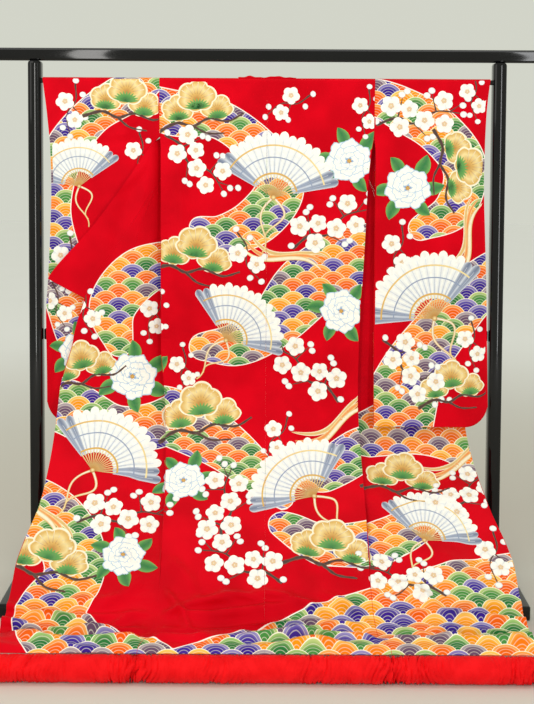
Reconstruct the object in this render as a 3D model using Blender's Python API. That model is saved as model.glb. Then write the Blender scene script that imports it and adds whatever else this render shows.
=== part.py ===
"""Uchikake wedding kimono on a lacquered kimono stand.

The garment hangs by its sleeves on the stand's rod with its back to -Y. Its fronts are
swung open round the side seams, and its hem trails forward over the floor. Lengths are
in metres, +Z is up, and the origin is on the floor below the middle of the rod.
Cloth distances are measured over the cloth: "down" from the shoulder fold, and "across"
from the side seam towards the front edge.
"""
import math

import bpy
import numpy as np

# The cloth: satin, wadding and lining are one wall.
CLOTH = 0.0024
SEAM_GAP = 0.0004
SHOULDER_HALF = 0.320
NECK_HALF = 0.088
NECK_SET = 0.004
MITRE_INSET = 0.0052
HEM_DOWN = 1.772
FOLD_RADIUS = 0.0045
ARMHOLE_END = 0.165
ARMHOLE_CLOSE = 0.055
TUCK_LIFT = 0.045

# The stand's rod carries the cloth, and its size sets the fold at the shoulder.
ROD_RADIUS = 0.0073
ROD_HEIGHT = 1.505
ROD_CLEAR = 0.0004
SHOULDER_RADIUS = ROD_RADIUS + ROD_CLEAR + CLOTH
ROD_QUARTER = SHOULDER_RADIUS * math.pi / 2

# How the hanging cloth leaves the vertical: columns are down, degrees from vertical.
DRAPE = (
    (0.0, 0), (0.86, 0), (0.96, 12), (1.06, 33), (1.18, 47), (1.35, 52),
    (1.50, 51), (1.60, 50), (1.655, 62), (1.695, 97), (1.735, 88), (HEM_DOWN, 48),
)

# Where the side seam lies from the middle: columns are down, left, right.
SIDE_SEAM = (
    (0.0, 0.320, 0.320), (0.165, 0.319, 0.319), (0.22, 0.316, 0.312),
    (0.30, 0.316, 0.304), (0.52, 0.316, 0.293), (0.81, 0.315, 0.279),
    (0.96, 0.303, 0.277), (1.30, 0.285, 0.283), (1.55, 0.279, 0.281),
    (1.68, 0.288, 0.288), (HEM_DOWN, 0.315, 0.315),
)

# The fronts are tucked behind the back and turned out again.
# Columns are down, depth of the tuck, degrees that the cloth faces away at the side seam.
TUCK = (
    (0.0, 0.190, 180), (0.11, 0.198, 180), (0.197, 0.146, 180), (0.257, 0.128, 180),
    (0.486, 0.082, 180), (0.664, 0.055, 180), (0.788, 0.055, 180), (0.946, 0.032, 180),
    (1.25, 0.016, 180), (1.42, 0.008, 90), (1.56, 0.001, 0), (HEM_DOWN, 0.001, 0),
)
TURN_START = 0.022
TURN_END = 0.160

# How deep each layer lies behind the back panel's face.
# Columns are down, tucked layer, left outer layer, right outer layer.
LAYERS = (
    (0.0, 0.0200, 0.010, 0.027), (0.165, 0.0180, 0.002, 0.027), (0.20, 0.0170, -0.005, 0.027),
    (0.90, 0.0150, -0.006, 0.027), (0.98, 0.0130, -0.005, 0.034), (1.06, 0.0110, -0.003, 0.050),
    (1.14, 0.0100, 0.000, 0.040), (1.30, 0.0070, 0.000, 0.008), (1.45, 0.0045, 0.000, 0.001),
    (HEM_DOWN, 0.0, 0.0, 0.0),
)
# Where the outer layer leaves the tuck's depth, measured out from the middle.
# Columns are down, left from, left to, right from, right to.
SHIFT = (
    (0.0, 0.303, 0.350, 0.285, 0.320), (0.26, 0.303, 0.352, 0.285, 0.320),
    (0.45, 0.306, 0.385, 0.275, 0.320), (0.90, 0.306, 0.395, 0.268, 0.318),
    (HEM_DOWN, 0.306, 0.395, 0.268, 0.318),
)
SHIFT_START = 0.155
SHIFT_CLOSE = 0.040
SHIFT_SOFT = 0.020

# Soft cross folds on the floor: where they start and end, their pitch and their height.
FLOOR_FOLD_START = 1.56
FLOOR_FOLD_END = 1.715
FLOOR_FOLD_PITCH = 0.075
FLOOR_FOLD_HEIGHT = 0.0065

# The cut of the fronts, over the cloth: the collar's seam and the okumi.
OKUMI_TOP = 0.300
OKUMI_TIP = 0.314
COLLAR_END = 0.664
PANEL_WIDTH = 0.250
FRONT_EDGE = 0.392
COLLAR_SEAM = ((0.0, 0.232), (OKUMI_TOP, 0.250), (COLLAR_END, 0.352), (0.80, 0.388), (0.86, FRONT_EDGE))
# Columns are down at the seam, collar's width, rise of its free edge.
COLLAR_SHAPE = (
    (0.0, 0.002, 0.0), (ROD_QUARTER, 0.004, 0.0), (0.070, 0.054, 0.0),
    (0.165, 0.070, 0.022), (0.257, 0.082, 0.039), (0.486, 0.092, 0.055), (COLLAR_END, 0.118, 0.058),
)

# Sleeves: columns are height, left outer edge, right outer edge, closed share of that edge.
SLEEVE_EDGE = (
    (0.475, 0.661, 0.666, 1.0), (0.60, 0.661, 0.666, 1.0), (0.80, 0.663, 0.663, 1.0),
    (0.90, 0.657, 0.660, 1.0), (1.03, 0.650, 0.655, 1.0), (1.18, 0.645, 0.649, 1.0),
    (1.23, 0.645, 0.648, 0.9), (1.29, 0.645, 0.648, 0.0), (1.40, 0.653, 0.651, 0.0),
    (1.50, 0.665, 0.660, 0.0), (1.52, 0.667, 0.663, 0.0),
)
# Columns are height, left inner edge, right inner edge, how far each sleeve is pushed back.
SLEEVE_INNER = (
    (0.46, 0.366, 0.324, 0.009, -0.030), (0.60, 0.366, 0.324, 0.009, -0.012),
    (0.80, 0.366, 0.324, 0.009, 0.0), (1.20, 0.366, 0.324, 0.009, 0.0),
    (1.29, 0.368, 0.324, 0.006, 0.0), (1.318, 0.354, 0.324, 0.004, 0.0),
    (1.335, 0.340, 0.3235, 0.002, 0.0), (1.355, 0.3204, 0.3204, 0.0, 0.0),
    (1.52, 0.3204, 0.3204, 0.0, 0.0),
)
SLEEVE_BOTTOM = 0.475
SLEEVE_CORNER = 0.070
SLEEVE_SEAM = 0.0048
SLEEVE_FOOT = 0.05
SLEEVE_TOP = 0.42

# The padded roll along the hem.
ROLL_FORWARD = 0.6278
ROLL_RADIUS = 0.0325
ROLL_SEAM = 0.315
ROLL_END = 0.703

# The stand.
POST_AT = 0.692
POST_WIDTH = 0.038
POST_DEEP = 0.050
STAND_BACK = 0.013
TOP_RAIL_HEIGHT = 1.583
TOP_RAIL_LENGTH = 1.70
RAIL_THICK = 0.0376
RAIL_DEEP = 0.030
MID_RAIL_HEIGHT = 0.740
MID_RAIL_THICK = 0.034
MID_RAIL_DEEP = 0.014
MID_RAIL_BACK = STAND_BACK + POST_DEEP / 2 - 0.0005 - MID_RAIL_DEEP / 2
BASE_BAR = (0.056, 0.027)
FOOT = (0.095, 0.600, 0.040)
FOOT_AT = 0.6925
STAND_GAP = 0.0003

RED_SATIN = (0.62, 0.004, 0.008, 1.0)
RED_LINING = (0.80, 0.008, 0.012, 1.0)
LACQUER = (0.006, 0.006, 0.007, 1.0)


def column(table, index):
    """One named column of a table, as an array."""
    return np.array([row[index] for row in table], dtype=float)


def read(table, index, at):
    """A smooth curve through one column of a table that never overshoots its rows."""
    keys = column(table, 0)
    values = column(table, index)
    step = np.diff(keys)
    slope = np.diff(values) / step
    tangent = np.zeros(len(keys))
    rising = slope[:-1] * slope[1:] > 0
    before = slope[:-1][rising]
    after = slope[1:][rising]
    tangent[1:-1][rising] = 2 * before * after / (before + after)
    at = np.asarray(at, dtype=float)
    cell = np.clip(np.searchsorted(keys, at, side="right") - 1, 0, len(keys) - 2)
    share = np.clip((at - keys[cell]) / step[cell], 0, 1)
    start = (1 + 2 * share) * (1 - share) ** 2 * values[cell]
    start += share * (1 - share) ** 2 * step[cell] * tangent[cell]
    end = share ** 2 * (3 - 2 * share) * values[cell + 1]
    end -= share ** 2 * (1 - share) * step[cell] * tangent[cell + 1]
    return start + end


def ease(value):
    """0 below 0, 1 above 1 and a smooth step between."""
    value = np.clip(value, 0, 1)
    return value * value * (3 - 2 * value)


def drape_line():
    """Forward reach, height and slope of the cloth at each distance down, summed along it."""
    down = np.linspace(ROD_QUARTER, HEM_DOWN + 0.004, 1500)
    slope = np.radians(read(DRAPE, 1, down))
    step = down[1] - down[0]
    forward = np.concatenate(([0], np.cumsum((np.sin(slope[1:]) + np.sin(slope[:-1])) / 2) * step))
    fall = np.concatenate(([0], np.cumsum((np.cos(slope[1:]) + np.cos(slope[:-1])) / 2) * step))
    return down, SHOULDER_RADIUS + forward, ROD_HEIGHT - fall, slope


DRAPE_LINE = drape_line()


def place(side, out, depth, down):
    """World point at a distance down, "out" from the middle and "depth" behind the back's face."""
    grid, forward, height, slope = DRAPE_LINE
    reach = np.interp(down, grid, forward)
    level = np.interp(down, grid, height)
    lean = np.interp(down, grid, slope)
    return np.stack([side * out, depth * np.cos(lean) - reach, level - depth * np.sin(lean)], axis=-1)


def seam_out(side, down):
    """Distance of the side seam from the middle."""
    return read(SIDE_SEAM, 1 if side < 0 else 2, down)


def hem_fold(down, out):
    """Soft cross folds where the cloth settles on the floor behind the hem roll."""
    near = ease((down - FLOOR_FOLD_START) / 0.08) * (1 - ease((down - FLOOR_FOLD_END) / 0.04))
    phase = (down - FLOOR_FOLD_START) / FLOOR_FOLD_PITCH * 2 * math.pi
    wave = np.sin(phase + 2.2 * np.sin(out * 4.1) + out * 3.0)
    return FLOOR_FOLD_HEIGHT * near * wave * (0.6 + 0.4 * np.cos(out * 9.0))


def back_point(side, down, across):
    """Back panel: a flat width from the side seam (across 0) to the middle seam."""
    seam = seam_out(side, down)
    out = seam * (1 - across / SHOULDER_HALF) + (SEAM_GAP / 2) * across / SHOULDER_HALF
    return place(side, out, hem_fold(down, side * out), down)


def front_point(side, down, across):
    """Front: tucked inwards behind the back, turned on a small radius, and out to its edge."""
    seam = seam_out(side, down)
    depth_in = read(TUCK, 1, down)
    start = np.radians(read(TUCK, 2, down))
    turned = ease((down - TURN_START) / (TURN_END - TURN_START)) * start
    turned = np.maximum(turned, 1e-5)
    bend = FOLD_RADIUS * turned + 1e-5
    rate = turned / bend
    first = np.minimum(across, depth_in)
    curve = np.clip(across - depth_in, 0, bend)
    last = np.maximum(across - depth_in - bend, 0)
    end = start - turned
    along = first * np.cos(start) + (np.sin(start) - np.sin(start - rate * curve)) / rate + last * np.cos(end)
    away = first * np.sin(start) + (np.cos(start - rate * curve) - np.cos(start)) / rate + last * np.sin(end)
    hinge_out = seam + SEAM_GAP * np.cos(start / 2) + CLOTH * np.sin(start)
    hinge_depth = CLOTH + SEAM_GAP * np.sin(start / 2) - CLOTH * np.cos(start)
    open_arm = 1 - ease((down - ARMHOLE_END) / ARMHOLE_CLOSE)
    hinge_depth = hinge_depth + open_arm * (2 * SHOULDER_RADIUS - hinge_depth)
    layer = read(LAYERS, 1, down)
    lift = np.maximum(layer - hinge_depth, 0) * ease(first / TUCK_LIFT)
    out = hinge_out + along
    depth = hinge_depth + away + lift
    outer = read(LAYERS, 2 if side < 0 else 3, down)
    rest = hinge_depth + lift + (np.cos(end) - np.cos(start)) / rate
    shift_from = read(SHIFT, 1 if side < 0 else 3, down)
    shift_to = read(SHIFT, 2 if side < 0 else 4, down)
    settle = ease((down - SHIFT_START) / SHIFT_CLOSE) * ease((out - shift_from) / (shift_to - shift_from))
    settle = settle * ease((across - depth_in - bend * 0.5) / SHIFT_SOFT)
    depth = depth + settle * (outer - rest) + hem_fold(down, side * out) * ease((down - 1.4) / 0.1)
    return place(side, out, depth, down)


def shoulder_point(side, along, across):
    """Body cloth over the rod: along is negative on the back and positive on the front."""
    turn = along / SHOULDER_RADIUS
    out = SHOULDER_HALF - across * (1 - SEAM_GAP / 2 / SHOULDER_HALF)
    return np.stack([
        side * out,
        SHOULDER_RADIUS * np.sin(turn) + 0 * out,
        ROD_HEIGHT + SHOULDER_RADIUS * np.cos(turn) + 0 * out,
    ], axis=-1)


def body_point(side, along, across):
    """One length of cloth from the back's hem, over the rod, to the front's hem."""
    along, across = np.broadcast_arrays(np.asarray(along, float), np.asarray(across, float))
    back = back_point(side, np.clip(-along, ROD_QUARTER, None), across)
    front = front_point(side, np.clip(along, ROD_QUARTER, None), across)
    top = shoulder_point(side, np.clip(along, -ROD_QUARTER, ROD_QUARTER), across)
    along = along[..., None]
    return np.where(along < -ROD_QUARTER, back, np.where(along > ROD_QUARTER, front, top))


def wall(surface, side, along, across):
    """Outer points of a surface and the inner points one cloth thickness behind them."""
    near = 1e-5
    outer = surface(side, along, across)
    down_step = surface(side, along + near, across) - surface(side, along - near, across)
    across_step = surface(side, along, across + near) - surface(side, along, across - near)
    normal = side * np.cross(down_step, across_step)
    normal /= np.linalg.norm(normal, axis=-1, keepdims=True)
    return outer, outer - CLOTH * normal


def add_solid(name, vertices, faces, material, smooth=True):
    """A named mesh object with its material."""
    mesh = bpy.data.meshes.new(name)
    mesh.from_pydata([tuple(point) for point in vertices.tolist()], [], faces)
    mesh.validate()
    mesh.materials.append(material)
    if smooth:
        mesh.shade_smooth()
        mesh.set_sharp_from_angle(angle=math.radians(40))
    body = bpy.data.objects.new(name, mesh)
    bpy.context.scene.collection.objects.link(body)
    return body


def sheet_solid(name, outer, inner, material, side, keep=None, closed=False):
    """Close two grids of points into one wall: faces where keep is true, and a rim all round.

    Both faces of the wall are split along the same diagonals, so that they stay parallel.
    """
    rows, columns = outer.shape[:2]
    index = np.arange(rows * columns).reshape(rows, columns)
    if closed:
        index = np.vstack([index, index[:1]])
    cells = np.stack([index[:-1, :-1], index[1:, :-1], index[1:, 1:], index[:-1, 1:]], axis=-1)
    if keep is None:
        keep = np.ones(cells.shape[:2], dtype=bool)
    quads = cells[keep]
    triangles = np.concatenate([quads[:, [0, 1, 2]], quads[:, [0, 2, 3]]])
    if side < 0:
        triangles = triangles[:, ::-1]
    triangles = triangles.tolist()
    count = rows * columns
    edges = {pair for corners in triangles for pair in zip(corners, corners[1:] + corners[:1])}
    faces = triangles + [[corner + count for corner in reversed(corners)] for corners in triangles]
    for first, second in sorted(edges):
        if (second, first) in edges:
            continue
        if first < second:
            faces += [[second, first, second + count], [first, first + count, second + count]]
        else:
            faces += [[second, first, first + count], [second, first + count, second + count]]
    vertices = np.concatenate([outer.reshape(-1, 3), inner.reshape(-1, 3)])
    used = sorted({corner for face in faces for corner in face})
    renumber = {old: new for new, old in enumerate(used)}
    faces = [[renumber[corner] for corner in face] for face in faces]
    return add_solid(name, vertices[used], faces, material)


def spread(*stretches):
    """Values along joined stretches, each given as (start, end, number of steps)."""
    values = [np.array([stretches[0][0]])]
    for start, end, steps in stretches:
        values.append(np.linspace(start, end, steps + 1)[1:])
    return np.concatenate(values)


def front_downs():
    """Rows of the front panel, which the okumi and the collar share at their seams."""
    return spread(
        (ROD_QUARTER, 0.040, 1), (0.040, 0.19, 12), (0.19, 0.25, 4), (0.25, OKUMI_TOP, 2),
        (OKUMI_TOP, OKUMI_TIP, 1), (OKUMI_TIP, 0.43, 3), (0.43, COLLAR_END, 3), (COLLAR_END, 0.90, 2),
        (0.90, 1.20, 4), (1.20, 1.58, 3), (1.58, HEM_DOWN, 9),
    )


def seam_half(down):
    """Half the gap at a front seam, a little wider where the collar turns over."""
    turning = ease((down - 0.02) / 0.03) * (1 - ease((down - 0.40) / 0.06))
    return SEAM_GAP / 2 + 0.0004 * turning


def back_downs():
    """Rows of the back panel."""
    return spread((ROD_QUARTER, 0.26, 2), (0.26, 0.90, 3), (0.90, 1.20, 4), (1.20, 1.58, 3), (1.58, HEM_DOWN, 9))


def body_across(side, down):
    """Columns of the front panel: the tucked layer, the turn and the layer outside it."""
    depth_in = read(TUCK, 1, down)
    bend = FOLD_RADIUS * np.radians(read(TUCK, 2, down)) + 0.0004
    edge = np.minimum(read(COLLAR_SEAM, 1, down), PANEL_WIDTH) - seam_half(down)
    tucked = np.linspace(0, 1, 4)[None, :] * depth_in[:, None]
    turn = depth_in[:, None] + np.linspace(0, 1, 5)[None, 1:] * bend[:, None]
    start = depth_in + bend
    at_middle = start - (seam_out(side, down) - depth_in)
    shift_from = read(SHIFT, 1 if side < 0 else 3, down) + at_middle
    shift_to = read(SHIFT, 2 if side < 0 else 4, down) + at_middle
    share = np.array([0, 0.33, 0.67, 1])
    marks = np.concatenate([
        shift_from[:, None] + (shift_to - shift_from)[:, None] * share,
        shift_to[:, None] + (edge - shift_to)[:, None] * np.array([0.5, 1]),
    ], axis=1)
    even = np.arange(1, marks.shape[1] + 1) / marks.shape[1]
    width = (edge - start)[:, None]
    low = start[:, None] + width * even * 0.25
    high = edge[:, None] - width * (1 - even) * 0.25
    return np.concatenate([tucked, turn, np.clip(marks, low, high)], axis=1)


def body(side, name, material):
    """A body length: the back panel, over the shoulder, and the front panel in one piece."""
    downs = front_downs()
    backs = back_downs()
    front = body_across(side, downs)
    neck_columns = np.linspace(0, 1, 3)[1:]
    top = front[0]
    even = np.linspace(0, top[-1], len(top))
    settle = ease((backs - ROD_QUARTER) / 0.35)[:, None]
    back = top[None, :] * (1 - settle) + even[None, :] * settle

    def past_neck(rows):
        return rows[:, -1:] + (SHOULDER_HALF - rows[:, -1:]) * neck_columns

    arc = np.linspace(-ROD_QUARTER, ROD_QUARTER, 9)[1:-1]
    arc[2] = -NECK_SET
    over = np.repeat(top[None, :], len(arc), axis=0)
    across = np.concatenate([
        np.concatenate([back, past_neck(back)], axis=1)[::-1],
        np.concatenate([over, past_neck(over)], axis=1),
        np.concatenate([front, past_neck(front)], axis=1),
    ])
    along = np.concatenate([-backs[::-1], arc, downs])[:, None] + 0 * across
    outer, inner = wall(body_point, side, along, across)
    keep = np.ones((across.shape[0] - 1, across.shape[1] - 1), dtype=bool)
    keep[len(backs) + 2:, len(top) - 1:] = False
    return sheet_solid(name, outer, inner, material, side, keep)


def okumi(side, name, material):
    """The long gore between the front panel and the collar, from its point to the hem."""
    downs = front_downs()
    downs = downs[downs > OKUMI_TIP - 1e-9]
    inner_edge = PANEL_WIDTH + seam_half(downs)
    outer_edge = read(COLLAR_SEAM, 1, downs) - seam_half(downs)
    across = inner_edge[:, None] + np.linspace(0, 1, 4)[None, :] * (outer_edge - inner_edge)[:, None]
    along = downs[:, None] + 0 * across
    outer, inner = wall(front_point, side, along, across)
    return sheet_solid(name, outer, inner, material, side)


def collar_side(side, name, material):
    """One end of the wide collar, from the mitre at the neck to its square end."""
    downs = front_downs()
    downs = downs[downs < COLLAR_END + 1e-9]
    share = np.linspace(0, 1, 8)[None, :]
    seam = (read(COLLAR_SEAM, 1, downs) + seam_half(downs))[:, None]
    across = seam + share * read(COLLAR_SHAPE, 1, downs)[:, None]
    along = downs[:, None] - share * read(COLLAR_SHAPE, 2, downs)[:, None]
    outer, inner = wall(front_point, side, along, across)
    return sheet_solid(name, outer, inner, material, side)


def collar_neck(name, material):
    """The folded collar behind the neck, over the rod and mitred to the collar's two ends."""
    thick = 2 * CLOTH
    radius = ROD_RADIUS + ROD_CLEAR + thick
    start = -(NECK_SET - SEAM_GAP) / SHOULDER_RADIUS
    turns = np.linspace(start, math.pi / 2, 6)
    falls = np.array([0.012, 0.026, 0.040, 0.053])
    share = np.linspace(-1, 1, 15)
    half = np.concatenate([np.full(len(turns), NECK_HALF - 0.0006), NECK_HALF - MITRE_INSET - falls])
    half[len(turns) - 1] = NECK_HALF - MITRE_INSET
    out = half[:, None] * share[None, :]
    bump = 0.0045 * np.exp(-((out + 0.052) / 0.016) ** 2) + 0.0040 * np.exp(-((out - 0.026) / 0.022) ** 2)

    def layer(distance, lifted):
        round_y = distance * np.sin(turns)[:, None] + 0 * out[:len(turns)]
        round_z = ROD_HEIGHT + (distance + lifted * bump[:len(turns)]) * np.cos(turns)[:, None]
        hang_y = np.full((len(falls), len(share)), distance)
        hang_z = ROD_HEIGHT - falls[:, None] + 0 * out[len(turns):]
        return np.stack([out, np.vstack([round_y, hang_y]), np.vstack([round_z, hang_z])], axis=-1)

    outer = layer(radius, 1)
    inner = layer(radius - thick, 0.0)
    return sheet_solid(name, outer, inner, material, -1)


def sleeve_point(side, around, share, inset):
    """Sleeve bag: around runs from 0 at the bottom seam, up the face, over the rod and down."""
    around, share = np.broadcast_arrays(np.asarray(around, float), np.asarray(share, float))
    which = 1 if side < 0 else 2
    nominal = 0.324 + 0.338 * share
    past = np.clip(nominal - (0.662 - SLEEVE_CORNER), 0, SLEEVE_CORNER * 0.985)
    drop = np.sqrt(SLEEVE_CORNER ** 2 - past ** 2)
    bottom = SLEEVE_BOTTOM + SLEEVE_CORNER - drop
    bottom = bottom + inset * (SLEEVE_CORNER / drop - 1)
    face = around < 0.5
    ring = np.where(face, around, 1 - around)
    lift = np.clip((ring - SLEEVE_FOOT) / (SLEEVE_TOP - SLEEVE_FOOT), 0, 1)
    height = bottom + SLEEVE_SEAM + lift * (ROD_HEIGHT - bottom - SLEEVE_SEAM)
    closed = read(SLEEVE_EDGE, 3, height) * ease((share - 0.86) / 0.14)
    low = ease((height - bottom) / 0.10)
    half = SHOULDER_RADIUS * low + SLEEVE_SEAM * (1 - low)
    half = half + (CLOTH + 0.0006 - half) * closed
    under_half = np.minimum(half, SLEEVE_SEAM) - inset
    half = half - inset
    over = np.clip((ring - SLEEVE_TOP) / (0.5 - SLEEVE_TOP), 0, 1) * math.pi / 2
    under = np.clip((SLEEVE_FOOT - ring) / SLEEVE_FOOT, 0, 1) * math.pi / 2
    depth = -half * np.cos(over) * np.cos(under)
    height = height + half * np.sin(over) - under_half * np.sin(under)
    depth = np.where(face, depth, -depth)
    inner_edge = read(SLEEVE_INNER, which, height)
    outer_edge = read(SLEEVE_EDGE, which, height)
    out = inner_edge * (1 - share) + outer_edge * share
    depth = depth + read(SLEEVE_INNER, 3 if side < 0 else 4, height)
    return np.stack([side * out, depth, height], axis=-1)


def sleeve(side, name, material):
    """A long hanging sleeve: a folded bag, open at the cuff and along the body side."""
    face = spread(
        (0, SLEEVE_FOOT, 2), (SLEEVE_FOOT, 0.33, 5), (0.33, 0.372, 4),
        (0.372, SLEEVE_TOP, 1), (SLEEVE_TOP, 0.5, 4),
    )
    around = np.concatenate([face, (1 - face[1:-1])[::-1]])
    share = np.concatenate([
        np.linspace(0, 0.78, 4), 0.793 + 0.207 * np.sin(np.radians(np.linspace(0, 90, 6))),
    ])
    outer = sleeve_point(side, around[:, None], share[None, :], 0.0)
    inner = sleeve_point(side, around[:, None], share[None, :], CLOTH)
    return sheet_solid(name, outer[:, ::-1], inner[:, ::-1], material, side, closed=True)


def roll_point(out, turn, start, end):
    """Padded roll with a flat sole, gathered towards the seams at its ends."""
    out, turn = np.broadcast_arrays(out, turn)
    nearness = np.minimum(out - start, end - out)
    gather = 0.80 + 0.20 * ease(nearness / 0.035)
    radius = ROLL_RADIUS * gather
    height = ROLL_RADIUS + radius * np.sin(turn)
    height = np.where(np.sin(turn) < -0.80, 0.0, height - (ROLL_RADIUS - radius) * 0.6)
    return np.stack([out, -ROLL_FORWARD - radius * np.cos(turn), height], axis=-1)


def hem_roll(name, start, end, material):
    """One stretch of the padded hem roll as a closed tube along X."""
    steps = max(6, round((end - start) / 0.055))
    middle = np.linspace(start + 0.035, end - 0.035, steps)
    outs = np.concatenate([[start, start + 0.012], middle, [end - 0.012, end]])
    turns = np.linspace(0, 2 * math.pi, 15)[:-1] - math.pi / 2 + math.pi / 14
    points = roll_point(outs[:, None], turns[None, :], start, end)
    count = len(turns)
    quads = []
    for ring in range(len(outs) - 1):
        for spoke in range(count):
            following = (spoke + 1) % count
            quads.append((ring * count + spoke, (ring + 1) * count + spoke,
                          (ring + 1) * count + following, ring * count + following))
    quads.append(tuple(range(count)))
    quads.append(tuple((len(outs) - 1) * count + spoke for spoke in reversed(range(count))))
    return add_solid(name, points.reshape(-1, 3), quads, material)


def bar(name, size, centre, material, round_edge=0.004):
    """A lacquered bar with eased edges."""
    half = np.array(size) / 2
    corners = np.array([(x, y, z) for x in (-1, 1) for y in (-1, 1) for z in (-1, 1)]) * half + np.array(centre)
    faces = [(0, 1, 3, 2), (4, 6, 7, 5), (0, 4, 5, 1), (2, 3, 7, 6), (0, 2, 6, 4), (1, 5, 7, 3)]
    body = add_solid(name, corners, faces, material, smooth=False)
    bevel = body.modifiers.new("eased edges", "BEVEL")
    bevel.width = round_edge
    bevel.segments = 2
    return body


def rod(name, material):
    """The slim round rod through both sleeves, just short of the posts at each end."""
    half = POST_AT - POST_WIDTH / 2 - STAND_GAP
    bpy.ops.mesh.primitive_cylinder_add(vertices=24, radius=ROD_RADIUS, depth=2 * half,
                                        location=(0, 0, ROD_HEIGHT), rotation=(0, math.pi / 2, 0))
    body = bpy.context.object
    body.name = name
    body.data.materials.append(material)
    return body


def make_material(name, colour, roughness, metallic=0.0):
    """A Principled material with one colour."""
    material = bpy.data.materials.new(name)
    material.use_nodes = True
    shader = material.node_tree.nodes["Principled BSDF"]
    shader.inputs["Base Color"].default_value = colour
    shader.inputs["Roughness"].default_value = roughness
    shader.inputs["Metallic"].default_value = metallic
    return material


def build_garment():
    """Every cut piece of the uchikake, left and right as the viewer sees them."""
    satin = make_material("red satin", RED_SATIN, 0.45)
    lining = make_material("red lining", RED_LINING, 0.6)
    for side, word in ((-1, "left"), (1, "right")):
        body(side, "body_" + word, satin)
        okumi(side, "okumi_" + word, satin)
        collar_side(side, "collar_" + word, satin)
        sleeve(side, "sleeve_" + word, satin)
    collar_neck("collar_neck", satin)
    hem_roll("hem_roll_back", -ROLL_SEAM + SEAM_GAP / 2, ROLL_SEAM - SEAM_GAP / 2, lining)
    hem_roll("hem_roll_left", -ROLL_END, -ROLL_SEAM - SEAM_GAP / 2, lining)
    hem_roll("hem_roll_right", ROLL_SEAM + SEAM_GAP / 2, ROLL_END, lining)


def build_stand():
    """The lacquered stand: two feet, two posts, three cross bars and the rod."""
    lacquer = make_material("black lacquer", LACQUER, 0.12)
    rod("rod", lacquer)
    post_foot = FOOT[2] + STAND_GAP
    post_top = TOP_RAIL_HEIGHT - RAIL_THICK / 2 - STAND_GAP
    post_size = (POST_WIDTH, POST_DEEP, post_top - post_foot)
    inner_length = 2 * (POST_AT - POST_WIDTH / 2 - STAND_GAP)
    for side, word in ((-1, "left"), (1, "right")):
        post_centre = (side * POST_AT, STAND_BACK, (post_foot + post_top) / 2)
        bar("post_" + word, post_size, post_centre, lacquer, 0.008)
        bar("foot_" + word, FOOT, (side * FOOT_AT, STAND_BACK, FOOT[2] / 2), lacquer)
    top_size = (TOP_RAIL_LENGTH, RAIL_DEEP, RAIL_THICK)
    bar("top_rail", top_size, (0, STAND_BACK, TOP_RAIL_HEIGHT), lacquer, 0.006)
    mid_size = (inner_length, MID_RAIL_DEEP, MID_RAIL_THICK)
    bar("mid_rail", mid_size, (0, MID_RAIL_BACK, MID_RAIL_HEIGHT), lacquer)
    base_length = 2 * (FOOT_AT - FOOT[0] / 2 - STAND_GAP)
    base_size = (base_length, BASE_BAR[0], BASE_BAR[1])
    bar("base_bar", base_size, (0, STAND_BACK, BASE_BAR[1] / 2), lacquer)


def main():
    for old in list(bpy.data.objects):
        bpy.data.objects.remove(old)
    build_garment()
    build_stand()


main()
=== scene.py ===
import math

import bpy
import numpy as np
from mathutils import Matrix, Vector


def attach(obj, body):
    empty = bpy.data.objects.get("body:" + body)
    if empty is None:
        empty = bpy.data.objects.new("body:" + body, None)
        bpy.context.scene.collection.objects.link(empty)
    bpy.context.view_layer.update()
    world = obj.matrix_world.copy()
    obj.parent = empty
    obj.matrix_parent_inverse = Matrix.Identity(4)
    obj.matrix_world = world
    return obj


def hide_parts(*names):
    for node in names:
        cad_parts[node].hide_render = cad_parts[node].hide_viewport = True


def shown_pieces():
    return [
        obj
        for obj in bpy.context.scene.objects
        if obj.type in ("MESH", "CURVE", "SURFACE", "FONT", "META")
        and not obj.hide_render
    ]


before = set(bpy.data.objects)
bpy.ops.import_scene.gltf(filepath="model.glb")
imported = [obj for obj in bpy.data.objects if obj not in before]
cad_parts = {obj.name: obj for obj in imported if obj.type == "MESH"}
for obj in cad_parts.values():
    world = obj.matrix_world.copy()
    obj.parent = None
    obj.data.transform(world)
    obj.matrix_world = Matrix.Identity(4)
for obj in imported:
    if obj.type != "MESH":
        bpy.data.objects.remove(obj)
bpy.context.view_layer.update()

print("frame loaded:", len(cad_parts), "nodes")

# the robe's cut and hang
# metres; "down" is the distance over the cloth from the shoulder fold

robe = {
    "thick": 0.0024, "panelWidth": 0.25, "shoulderHalf": 0.32, "hemDown": 1.772,
    "neckHalf": 0.088, "neckSet": 0.004,
    "rodRadius": 0.0073, "rodHeight": 1.505, "rodClear": 0.0004,
    "armholeEnd": 0.165, "armholeClose": 0.055,
    "foldRadius": 0.0045, "tuckLift": 0.045, "turnStart": 0.022, "turnEnd": 0.16,
    "shiftStart": 0.155, "shiftClose": 0.04, "shiftSoft": 0.02,
    "okumiTop": 0.3, "okumiTip": 0.306, "collarEnd": 0.664, "floorStart": 1.56,
}
# half of the clearance at a seam, what the turning fronts add to it, and what the backs add near the floor
seams = {
    "gap": 0.00004, "half": 0.00005,
    "turnHalf": 0.00016, "turnFrom": 0.02, "turnRise": 0.03, "turnTo": 0.4, "turnFade": 0.06,
    "floorHalf": 0.00008, "floorFrom": 1.45, "floorRise": 0.1,
}
shoulderRadius = robe["rodRadius"] + robe["rodClear"] + robe["thick"]
rodQuarter = shoulderRadius * math.pi / 2
hemDown = robe["hemDown"]

# down, degrees from vertical
drape = (
    (0.0, 0), (0.86, 0), (0.96, 12), (1.06, 33), (1.18, 47), (1.35, 52), (1.5, 51), (1.6, 50), (1.655, 62),
    (1.695, 97), (1.735, 88), (hemDown, 48),
)
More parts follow.
